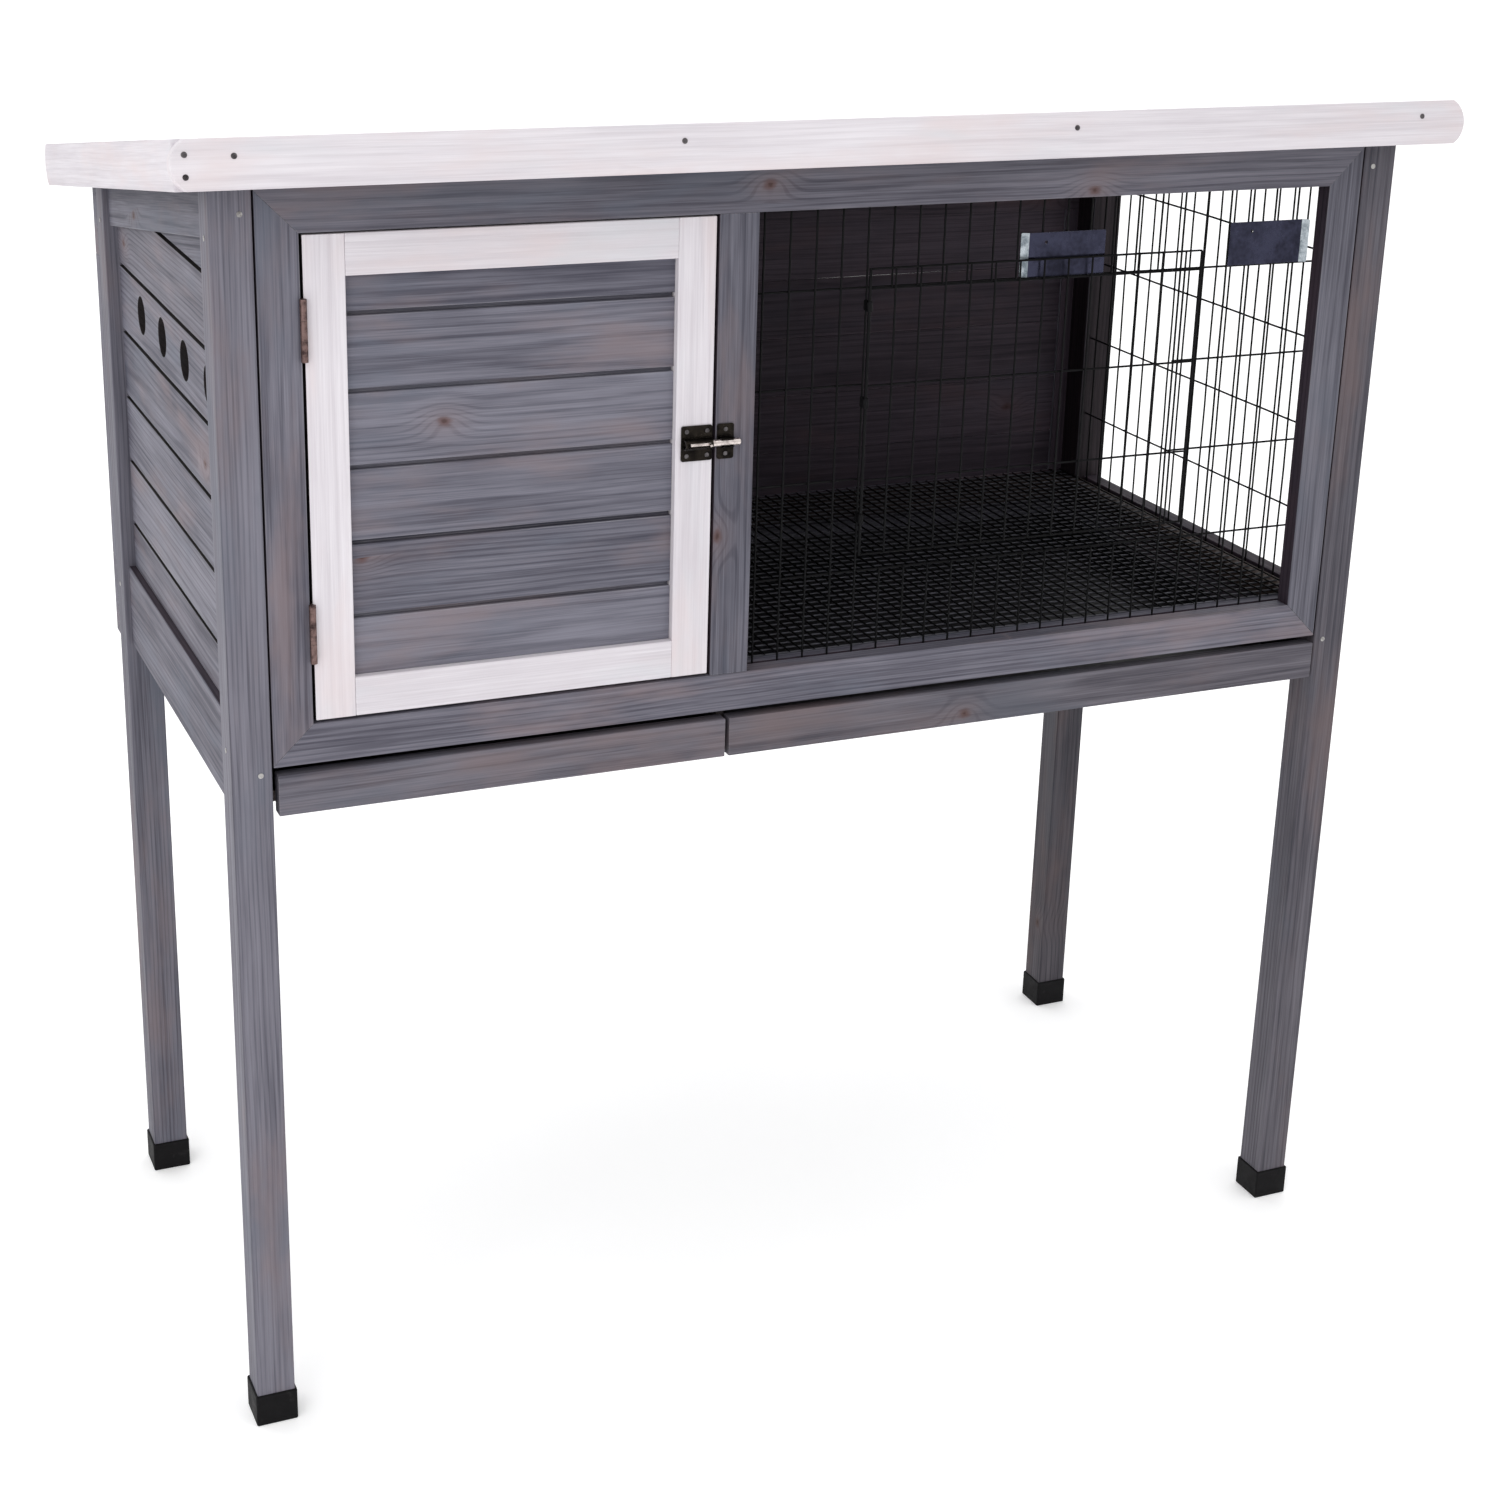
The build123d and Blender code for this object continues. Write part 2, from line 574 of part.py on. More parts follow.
with BuildPart() as door_hinge_leaves:
    for hinge_z in HINGE_CENTRES:
        hinge_leaf((DOOR_LEFT - HINGE_LEAF, DOOR_LEFT), hinge_z)
        clear_knuckle(hinge_z, -HINGE_LENGTH / 2, -KNUCKLE / 2 + HAIR)
        clear_knuckle(hinge_z, KNUCKLE / 2 - HAIR, HINGE_LENGTH / 2)
        knuckle(hinge_z, -KNUCKLE / 2 + HAIR, KNUCKLE / 2 - HAIR)
    with BuildSketch():
        with Locations((HINGE_X, HINGE_Y)):
            Circle(HINGE_PIN + HINGE_PIN_CLEAR)
    extrude(amount=REST_Z, mode=Mode.SUBTRACT)
save(door_hinge_leaves, "door_hinge_leaves")

# ---------------------------------------------------------------- barrel bolt of the wooden door
BOLT_Z = 911.0
BOLT_RADIUS = 3.2
BOLT_CLEAR = 0.3
BOLT_X = (-158.0, -110.0)  # tail and tip, shot
SHEET = 1.2
STRAP_HEIGHT = 32.0
BOLT_PLATE_X = (-164.5, -135.2)
BARREL_X = (-163.0, -137.0)
BARREL_RADIUS = BOLT_RADIUS + BOLT_CLEAR + SHEET
SLOT_X = (-161.0, -139.0)
SLOT_WIDTH = 4.4
KNOB_RADIUS = 1.1
KNOB_LENGTH = 8.0
KEEPER_X = (-130.5, -114.5)
KEEPER_LIPS_X = (-128.5, -116.5)
STRAP_Y = (FRAME_FRONT - SHEET, FRAME_FRONT)
BOLT_Y = STRAP_Y[0] - BOLT_RADIUS - 2 * BOLT_CLEAR
FIXING_RADIUS = 2.0
FIXING_OFFSET = 11.0
FIXING_HEAD = 0.6  # how far the screws stand off the plates
PLATE_FIXINGS_X = (BOLT_PLATE_X[0] + 5, BOLT_PLATE_X[1] - 5)
KEEPER_FIXINGS_X = (sum(KEEPER_X) / 2,)


def fixings(places_x):
    """X and Z of a strap's fixings, above and below the bolt at each place."""
    return [(x, z) for x in places_x for z in (BOLT_Z - FIXING_OFFSET, BOLT_Z + FIXING_OFFSET)]


def strap(x, fixings_x):
    """A flat rounded plate with a pair of fixing holes at each place."""
    span_box(x, STRAP_Y, (BOLT_Z - STRAP_HEIGHT / 2, BOLT_Z + STRAP_HEIGHT / 2))
    fillet(edges().filter_by(Axis.Y), 2)
    with Locations(*[(hole_x, STRAP_Y[0], hole_z) for hole_x, hole_z in fixings(fixings_x)]):
        Cylinder(FIXING_RADIUS, 4 * SHEET, rotation=(90, 0, 0), mode=Mode.SUBTRACT)


def barrel(x, mouth=0.0):
    """A tube round the bolt, standing on the plate, its front open over a mouth of this height."""
    with BuildSketch(Plane.YZ.offset(x[0])) as section:
        with Locations((BOLT_Y, BOLT_Z)):
            Circle(BARREL_RADIUS)
            Rectangle(STRAP_Y[0] - BOLT_Y, 2 * BARREL_RADIUS, align=(Align.MIN, Align.CENTER))
            Circle(BOLT_RADIUS + BOLT_CLEAR, mode=Mode.SUBTRACT)
            if mouth:
                Rectangle(2 * BARREL_RADIUS, mouth, align=(Align.MAX, Align.CENTER), mode=Mode.SUBTRACT)
    extrude(section.sketch, amount=x[1] - x[0])


with BuildPart() as bolt_plate:
    strap(BOLT_PLATE_X, PLATE_FIXINGS_X)
    barrel((BARREL_X[0], SLOT_X[0]))
    barrel(SLOT_X, SLOT_WIDTH)
    barrel((SLOT_X[1], BARREL_X[1]))
save(bolt_plate, "bolt_plate")

with BuildPart() as bolt_keeper:
    strap(KEEPER_X, KEEPER_FIXINGS_X)
    barrel(KEEPER_LIPS_X, 2 * (BOLT_RADIUS + BOLT_CLEAR))
save(bolt_keeper, "bolt_keeper")

with BuildPart() as latch_bolt:
    rod((BOLT_X[0], BOLT_Y, BOLT_Z), (BOLT_X[1], BOLT_Y, BOLT_Z), BOLT_RADIUS)
    fillet(latch_bolt.edges().filter_by(GeomType.CIRCLE), 1)
    knob_x = SLOT_X[1] - HAIR - KNOB_RADIUS
    rod((knob_x, BOLT_Y, BOLT_Z), (knob_x, BOLT_Y - KNOB_LENGTH, BOLT_Z), KNOB_RADIUS)
save(latch_bolt, "latch_bolt")

for strap_name, fixings_x in (("bolt_plate", PLATE_FIXINGS_X), ("bolt_keeper", KEEPER_FIXINGS_X)):
    with BuildPart() as strap_screws:
        for screw_x, screw_z in fixings(fixings_x):
            rod(
                (screw_x, STRAP_Y[1], screw_z),
                (screw_x, STRAP_Y[0] - FIXING_HEAD, screw_z),
                FIXING_RADIUS - 0.1,
            )
    save(strap_screws, f"{strap_name}_screws")

# ---------------------------------------------------------------- wire door in the front wire panel
WIRE_DOOR_RIGHT = WIRE_OPENING_RIGHT + 17.5
WIRE_DOOR_Z = (WIRE_OPENING_Z[0] + 18.0, WIRE_OPENING_Z[1] + 18.0)
EDGE_WIRE_RADIUS = 1.5
WIRE_DOOR_LEVEL_Y = PANEL_FRONT_WIRE_Y - 5.0
WIRE_DOOR_UPRIGHT_Y = WIRE_DOOR_LEVEL_Y - WIRE_RADIUS - EDGE_WIRE_RADIUS
CLIP_INNER = EDGE_WIRE_RADIUS + 0.1
CLIP_OUTER = CLIP_INNER + 1.2
CLIP_HEIGHT = 9.0
CLIP_LEVELS = (LEVELS[2] - 40.0, LEVELS[3] - 20.0, LEVELS[4] - 20.0)

with BuildPart() as wire_door:
    for wire_x in [x for x in UPRIGHTS_X if in_opening(x)] + [WIRE_OPENING_RIGHT]:
        rod(
            (wire_x, WIRE_DOOR_UPRIGHT_Y, WIRE_DOOR_Z[0]),
            (wire_x, WIRE_DOOR_UPRIGHT_Y, WIRE_DOOR_Z[1]),
            WIRE_RADIUS,
        )
    for wire_x in (WIRE_DOOR_HINGE_X, WIRE_DOOR_RIGHT):
        rod(
            (wire_x, WIRE_DOOR_UPRIGHT_Y, WIRE_DOOR_Z[0]),
            (wire_x, WIRE_DOOR_UPRIGHT_Y, WIRE_DOOR_Z[1]),
            EDGE_WIRE_RADIUS,
        )
    for level in (WIRE_DOOR_Z[0], LEVELS[2], LEVELS[3], LEVELS[4], WIRE_DOOR_Z[1]):
        rod(
            (WIRE_DOOR_HINGE_X, WIRE_DOOR_LEVEL_Y, level),
            (WIRE_DOOR_RIGHT, WIRE_DOOR_LEVEL_Y, level),
            WIRE_RADIUS,
        )
save(wire_door, "wire_door")

with BuildPart() as wire_door_clips:
    for clip_z in CLIP_LEVELS:
        with BuildSketch(Plane.XY.offset(clip_z)):
            with Locations((WIRE_DOOR_HINGE_X, WIRE_DOOR_UPRIGHT_Y)):
                Circle(CLIP_OUTER)
                Rectangle(
                    3 * WIRE_RADIUS,
                    PANEL_FRONT_WIRE_Y - WIRE_DOOR_UPRIGHT_Y,
                    align=(Align.CENTER, Align.MIN),
                )
                Circle(CLIP_INNER, mode=Mode.SUBTRACT)
            with Locations((WIRE_DOOR_HINGE_X, PANEL_FRONT_WIRE_Y)):
                Circle(2 * WIRE_RADIUS)
                Circle(WIRE_RADIUS, mode=Mode.SUBTRACT)
        extrude(amount=CLIP_HEIGHT)
save(wire_door_clips, "wire_door_clips")

# ---------------------------------------------------------------- two sheet-metal plates on the wire panel
PLATE_WIDTH = 88.0
PLATE_HEIGHT = 41.0
PLATE_THICKNESS = 1.0
PLATE_LEFTS = (176.0, 401.0)
PLATE_BEND = (7.0, 3.0)  # bent end of each plate, long and deep
PLATE_BACK_Y = PANEL_FRONT_WIRE_Y - WIRE_RADIUS
PLATE_FOOT_Z = LEVELS[4] + WIRE_RADIUS
PLATE_RUNS = (
    # the left end of one bends back between two wires, the right end of the other bends forwards
    [(0.0, PLATE_BEND[1]), (PLATE_BEND[0], 0.0), (PLATE_WIDTH, 0.0)],
    [(0.0, 0.0), (PLATE_WIDTH - PLATE_BEND[0], 0.0), (PLATE_WIDTH, -PLATE_BEND[1])],
)

with BuildPart() as mesh_plates:
    for plate_left, run in zip(PLATE_LEFTS, PLATE_RUNS):
        back_line = [(plate_left + x, PLATE_BACK_Y + y) for x, y in run]
        front_line = [(x, y - PLATE_THICKNESS) for x, y in reversed(back_line)]
        with BuildSketch(Plane.XY.offset(PLATE_FOOT_Z)):
            with BuildLine():
                Polyline(*back_line, *front_line, close=True)
            make_face()
        extrude(amount=PLATE_HEIGHT)
    fillet(mesh_plates.edges().filter_by(Axis.Y), 1.5)
    with Locations(Plane.XZ.offset(-PLATE_BACK_Y + PLATE_THICKNESS)):
        with Locations(*[(left + 25, PLATE_FOOT_Z + PLATE_HEIGHT - 9) for left in PLATE_LEFTS]):
            Hole(1.6)
save(mesh_plates, "mesh_plates")

# ---------------------------------------------------------------- roof, drawn on its own sloping plane
RAFTER = 26.0
RAFTER_CENTRES = (-558.0, -186.0, 186.0, 558.0)
RAFTER_WIDTH = 24.0
DECK = 9.0
FELT = 2.0
TRIM_THICKNESS = 14.0
TRIM_DROP = 3.0  # below the roof's underside
FASCIA_HALF = 607.0
BARGE_OUTER = 603.0
TRIM_NOSE = 12.0  # how far the rounded ends bulge
TRIM_T = (-TRIM_DROP, RAFTER + DECK + FELT)
NOSE_RADIUS = ((TRIM_T[1] - TRIM_T[0]) ** 2 / 4 + TRIM_NOSE**2) / (2 * TRIM_NOSE)
NOSE_MIDDLE = (TRIM_T[0] + TRIM_T[1]) / 2
FRONT_S = -ROOF_FRONT_OVERHANG / cos(radians(ROOF_SLOPE))
FRONT_REACH = ROOF_FRONT_OVERHANG - FRONT_Y  # from the origin to the fascia, which the back end matches
BACK_S = NOSE_RADIUS + (FRONT_REACH - NOSE_RADIUS - FRONT_Y - NOSE_MIDDLE * ROOF_NORMAL[1]) / ROOF_NORMAL[2]
INNER_S = (FRONT_S + TRIM_THICKNESS, BACK_S - 2 * TRIM_THICKNESS)
BARGE_INNER = BARGE_OUTER - TRIM_THICKNESS

ROOF_HINGES_X = (-372.0, 372.0)
ROOF_HINGE_WIDTH = 60.0
ROOF_HINGE_RADIUS = 3.5
ROOF_HINGE_PIN = 1.75
ROOF_LEAF = 1.5
ROOF_LEAF_REACH = 30.0
ROOF_HINGE_Y = BACK_PANEL_Y[1] + ROOF_HINGE_RADIUS + HAIR
ROOF_HINGE_Z = roof_z(ROOF_HINGE_Y, ROOF_HINGE_RADIUS + ROOF_LEAF / 2)
ROOF_KNUCKLE = ROOF_HINGE_WIDTH / 3
ROOF_HINGE_S = ROOF_PLANE.to_local_coords(Vector(0, ROOF_HINGE_Y, ROOF_HINGE_Z)).Y


def roof_box(x, s, t):
    """A box on the roof plane: across, along the slope and square to it."""
    with BuildSketch(ROOF_PLANE.offset(t[0])) as section:
        with Locations(((x[0] + x[1]) / 2, (s[0] + s[1]) / 2)):
            Rectangle(x[1] - x[0], s[1] - s[0])
    extrude(section.sketch, amount=t[1] - t[0])


def nosed_outline(half_length, low, high, square_end=0):
    """A board's face with bulging round ends, centred on the sketch's origin, one end square if asked."""
    middle = (low + high) / 2
    with BuildLine() as outline:
        straight = {end: end * (half_length - (0 if end == square_end else TRIM_NOSE)) for end in (-1, 1)}
        Line((straight[-1], low), (straight[1], low))
        Line((straight[-1], high), (straight[1], high))
        for end, corner in straight.items():
            if end == square_end:
                Line((corner, low), (corner, high))
            else:
                ThreePointArc((corner, low), (end * half_length, middle), (corner, high))
    make_face(outline.edges())


with BuildPart() as fascia_board:
    fascia_origin = ROOF_PLANE.from_local_coords(Vector(0, FRONT_S + TRIM_THICKNESS, 0))
    with BuildSketch(Plane(origin=fascia_origin, x_dir=(1, 0, 0), z_dir=-ROOF_PLANE.y_dir)):
        nosed_outline(FASCIA_HALF, *TRIM_T)
    extrude(amount=TRIM_THICKNESS)
    fillet(fascia_board.faces().sort_by(Axis.Y)[0].edges(), EASE)
save(fascia_board, "fascia_board")

for side, outward in (("left", -1), ("right", 1)):
    with BuildPart() as barge_board:
        barge_middle = (INNER_S[0] + BACK_S) / 2
        barge_origin = ROOF_PLANE.from_local_coords(Vector(outward * BARGE_INNER, barge_middle, 0))
        barge_plane = Plane(origin=barge_origin, x_dir=ROOF_PLANE.y_dir * outward, z_dir=(outward, 0, 0))
        with BuildSketch(barge_plane):
            nosed_outline((BACK_S - INNER_S[0]) / 2, *TRIM_T, square_end=-outward)
        extrude(amount=TRIM_THICKNESS)
        fillet(barge_board.faces().sort_by(Axis.X)[0 if outward < 0 else -1].edges(), EASE)
    save(barge_board, f"{side}_barge_board")

with BuildPart() as roof_back_trim:
    roof_box((-BARGE_INNER, BARGE_INNER), (INNER_S[1], INNER_S[1] + TRIM_THICKNESS), TRIM_T)
save(roof_back_trim, "roof_back_trim")

with BuildPart() as roof_rafters:
    for centre in RAFTER_CENTRES:
        roof_box((centre - RAFTER_WIDTH / 2, centre + RAFTER_WIDTH / 2), INNER_S, (0, RAFTER))
save(roof_rafters, "roof_rafters")

with BuildPart() as roof_cross_battens:
    for left, right in zip(RAFTER_CENTRES[:-1], RAFTER_CENTRES[1:]):
        bay = (left + RAFTER_WIDTH / 2, right - RAFTER_WIDTH / 2)
        roof_box(bay, (0, RAFTER_WIDTH), (0, RAFTER))
        roof_box(bay, (ROOF_HINGE_S, ROOF_HINGE_S + ROOF_LEAF_REACH), (0, RAFTER))
save(roof_cross_battens, "roof_cross_battens")

with BuildPart() as roof_deck:
    roof_box((-BARGE_INNER, BARGE_INNER), INNER_S, (RAFTER, RAFTER + DECK))
save(roof_deck, "roof_deck")

with BuildPart() as roof_felt:
    roof_box((-BARGE_INNER, BARGE_INNER), INNER_S, (RAFTER + DECK, RAFTER + DECK + FELT))
save(roof_felt, "roof_felt")

# ---------------------------------------------------------------- roof hinges on the back

def roof_knuckle(middle, low, high, radius=ROOF_HINGE_RADIUS, mode=Mode.ADD):
    """A stretch of the roof hinge's barrel, measured along X from the hinge's middle."""
    with BuildSketch(Plane.YZ.offset(middle + low)) as section:
        with Locations((ROOF_HINGE_Y, ROOF_HINGE_Z)):
            Circle(radius)
    extrude(section.sketch, amount=high - low, mode=mode)


with BuildPart() as roof_hinge_body_leaves:
    for middle in ROOF_HINGES_X:
        span_box(
            (middle - ROOF_HINGE_WIDTH / 2, middle + ROOF_HINGE_WIDTH / 2),
            (BACK_PANEL_Y[1], BACK_PANEL_Y[1] + ROOF_LEAF),
            (ROOF_HINGE_Z - ROOF_LEAF_REACH, ROOF_HINGE_Z),
        )
        roof_knuckle(middle, -ROOF_KNUCKLE / 2, ROOF_KNUCKLE / 2, ROOF_HINGE_RADIUS + HAIR, Mode.SUBTRACT)
        roof_knuckle(middle, -ROOF_HINGE_WIDTH / 2, -ROOF_KNUCKLE / 2)
        roof_knuckle(middle, ROOF_KNUCKLE / 2, ROOF_HINGE_WIDTH / 2)
        roof_knuckle(middle, -ROOF_HINGE_WIDTH / 2, ROOF_HINGE_WIDTH / 2, ROOF_HINGE_PIN)
save(roof_hinge_body_leaves, "roof_hinge_body_leaves")

with BuildPart() as roof_hinge_roof_leaves:
    for middle in ROOF_HINGES_X:
        roof_box(
            (middle - ROOF_HINGE_WIDTH / 2, middle + ROOF_HINGE_WIDTH / 2),
            (ROOF_HINGE_S, ROOF_HINGE_S + ROOF_LEAF_REACH),
            (-ROOF_LEAF, 0),
        )
        for low, high in (
            (-ROOF_HINGE_WIDTH, -ROOF_KNUCKLE / 2 + HAIR),
            (ROOF_KNUCKLE / 2 - HAIR, ROOF_HINGE_WIDTH),
        ):
            roof_knuckle(middle, low, high, ROOF_HINGE_RADIUS + HAIR, Mode.SUBTRACT)
        roof_knuckle(middle, -ROOF_KNUCKLE / 2 + HAIR, ROOF_KNUCKLE / 2 - HAIR)
        roof_knuckle(
            middle,
            -ROOF_HINGE_WIDTH,
            ROOF_HINGE_WIDTH,
            ROOF_HINGE_PIN + HINGE_PIN_CLEAR,
            Mode.SUBTRACT,
        )
save(roof_hinge_roof_leaves, "roof_hinge_roof_leaves")

# ---------------------------------------------------------------- screw heads
SCREW_RADIUS = 2.4
SCREW_HEAD = 0.8
LEG_SCREW_SHIFT = 7.5  # from the middle of the leg, away from the outside


def screw_heads(plane, places):
    """Low round heads lying on a face."""
    with BuildSketch(plane) as section:
        with Locations(*places):
            Circle(SCREW_RADIUS)
    extrude(section.sketch, amount=SCREW_HEAD)


with BuildPart() as leg_screws:
    front_places = [
        (side * (RIGHT_X - LEG / 2 - LEG_SCREW_SHIFT), z) for side in (-1, 1) for z in (650.0, 1129.0)
    ]
    screw_heads(Plane.XZ.offset(-FRONT_Y), front_places)
    for outer_x, normal in ((LEFT_X, -1), (RIGHT_X, 1)):
        side_plane = Plane(origin=(outer_x, 0, 0), x_dir=(0, normal, 0), z_dir=(normal, 0, 0))
        side_places = [
            (normal * y, z)
            for y, heights in ((FRONT_Y + LEG / 2, (670.0, 1108.0)), (BACK_Y - LEG / 2, (670.0, 1040.0)))
            for z in heights
        ]
        screw_heads(side_plane, side_places)
save(leg_screws, "leg_screws")

with BuildPart() as fascia_screws:
    screw_plane = Plane(
        origin=ROOF_PLANE.from_local_coords(Vector(0, FRONT_S, 0)),
        x_dir=(1, 0, 0),
        z_dir=-ROOF_PLANE.y_dir,
    )
    screw_heads(screw_plane, [(x, RAFTER - 3.0) for x in RAFTER_CENTRES])
    screw_heads(screw_plane, [(TRIM_THICKNESS / 2 - BARGE_OUTER, t) for t in (8.0, 25.0)])
save(fascia_screws, "fascia_screws")
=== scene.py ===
import json
import math
import random

import bmesh
import bpy
import numpy as np
from mathutils import Matrix, Vector, noise


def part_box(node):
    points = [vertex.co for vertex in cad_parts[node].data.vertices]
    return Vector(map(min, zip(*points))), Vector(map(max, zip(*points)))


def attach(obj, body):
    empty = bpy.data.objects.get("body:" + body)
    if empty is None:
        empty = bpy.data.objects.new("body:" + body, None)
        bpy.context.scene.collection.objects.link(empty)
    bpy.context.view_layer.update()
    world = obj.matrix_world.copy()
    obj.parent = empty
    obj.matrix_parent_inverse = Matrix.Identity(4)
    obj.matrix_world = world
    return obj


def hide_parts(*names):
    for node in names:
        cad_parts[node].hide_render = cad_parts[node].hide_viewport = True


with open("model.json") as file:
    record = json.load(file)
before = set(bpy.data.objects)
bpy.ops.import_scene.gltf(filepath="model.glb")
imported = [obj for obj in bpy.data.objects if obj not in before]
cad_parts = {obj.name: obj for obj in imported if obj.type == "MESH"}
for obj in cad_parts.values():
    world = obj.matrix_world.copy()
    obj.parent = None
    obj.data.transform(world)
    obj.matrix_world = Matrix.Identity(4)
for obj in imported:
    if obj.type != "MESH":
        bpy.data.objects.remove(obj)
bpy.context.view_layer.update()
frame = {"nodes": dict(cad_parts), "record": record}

NODES = frame["nodes"]
BODIES = frame["record"]["behaviour"]["bodies"]
BODY_OF = {node: body for body, nodes in BODIES.items() for node in nodes}
SLOT_OF = {part["node"]: part["material_slot"] for part in frame["record"]["subparts"]}
MM = 0.001
NOISE_SEED = 7

noise.seed_set(NOISE_SEED)  # unseeded, noise_vector takes its offsets from the clock and differs each run


# ---------------------------------------------------------------- shader graphs
def srgb(red, green, blue):
    """A display colour from 0 to 255, as the linear colour that a shader socket takes."""
    def linear(value):
        value /= 255
        return value / 12.92 if value <= 0.04045 else ((value + 0.055) / 1.055) ** 2.4
    return (linear(red), linear(green), linear(blue), 1.0)


class Graph:
    """A material's node tree, with one short method for each kind of node it needs."""

    def __init__(self, name):
        self.material = bpy.data.materials.new(name)
        self.material.use_nodes = True
        self.tree = self.material.node_tree
        self.tree.nodes.clear()
        output = self.tree.nodes.new("ShaderNodeOutputMaterial")
        self.shader = self.tree.nodes.new("ShaderNodeBsdfPrincipled")
        self.tree.links.new(self.shader.outputs[0], output.inputs["Surface"])

    def put(self, socket, value):
        """Link a socket, or set its value."""
        if isinstance(value, bpy.types.NodeSocket):
            self.tree.links.new(value, socket)
        else:
            socket.default_value = value

    def node(self, kind, inputs, **settings):
        made = self.tree.nodes.new(kind)
        for name, value in settings.items():
            setattr(made, name, value)
        for key, value in inputs.items():
            self.put(made.inputs[key], value)
        return made

    def math(self, operation, first, second=0.0, clamp=False):
        inputs = {0: first, 1: second}
        return self.node("ShaderNodeMath", inputs, operation=operation, use_clamp=clamp).outputs[0]

    def vector(self, operation, first, second=(0, 0, 0)):
        return self.node("ShaderNodeVectorMath", {0: first, 1: second}, operation=operation).outputs[0]

    def length(self, vector):
        return self.node("ShaderNodeVectorMath", {0: vector}, operation="LENGTH").outputs["Value"]

    def split(self, vector):
        return self.node("ShaderNodeSeparateXYZ", {0: vector}).outputs

    def join(self, x, y, z):
        return self.node("ShaderNodeCombineXYZ", {0: x, 1: y, 2: z}).outputs[0]

    def attribute(self, name, output="Vector"):
        return self.node("ShaderNodeAttribute", {}, attribute_name=name).outputs[output]

    def place(self):
        return self.node("ShaderNodeTexCoord", {}).outputs["Object"]

    def noise(self, vector, scale, detail=2.0, roughness=0.5, output=0):
        inputs = {"Vector": vector, "Scale": scale, "Detail": detail, "Roughness": roughness}
        return self.node("ShaderNodeTexNoise", inputs).outputs[output]

    def band(self, value, low, high, to_low=0.0, to_high=1.0):
        """A smooth step from to_low to to_high as value goes from low to high."""
        return self.node(
            "ShaderNodeMapRange",
            {0: value, 1: low, 2: high, 3: to_low, 4: to_high},
            interpolation_type="SMOOTHSTEP",
        ).outputs[0]

    def mix(self, factor, first, second, blend="MIX"):
        made = self.tree.nodes.new("ShaderNodeMix")
        made.data_type = "RGBA"
        made.blend_type = blend
        self.put(made.inputs[0], factor)
        self.put(made.inputs[6], first)
        self.put(made.inputs[7], second)
        return made.outputs[2]

    def bump(self, height, distance):
        inputs = {"Height": height, "Distance": distance, "Strength": 1.0}
        return self.node("ShaderNodeBump", inputs).outputs[0]

    def finish(self, **sockets):
        for name, value in sockets.items():
            self.put(self.shader.inputs[name.replace("_", " ")], value)
        return self.material


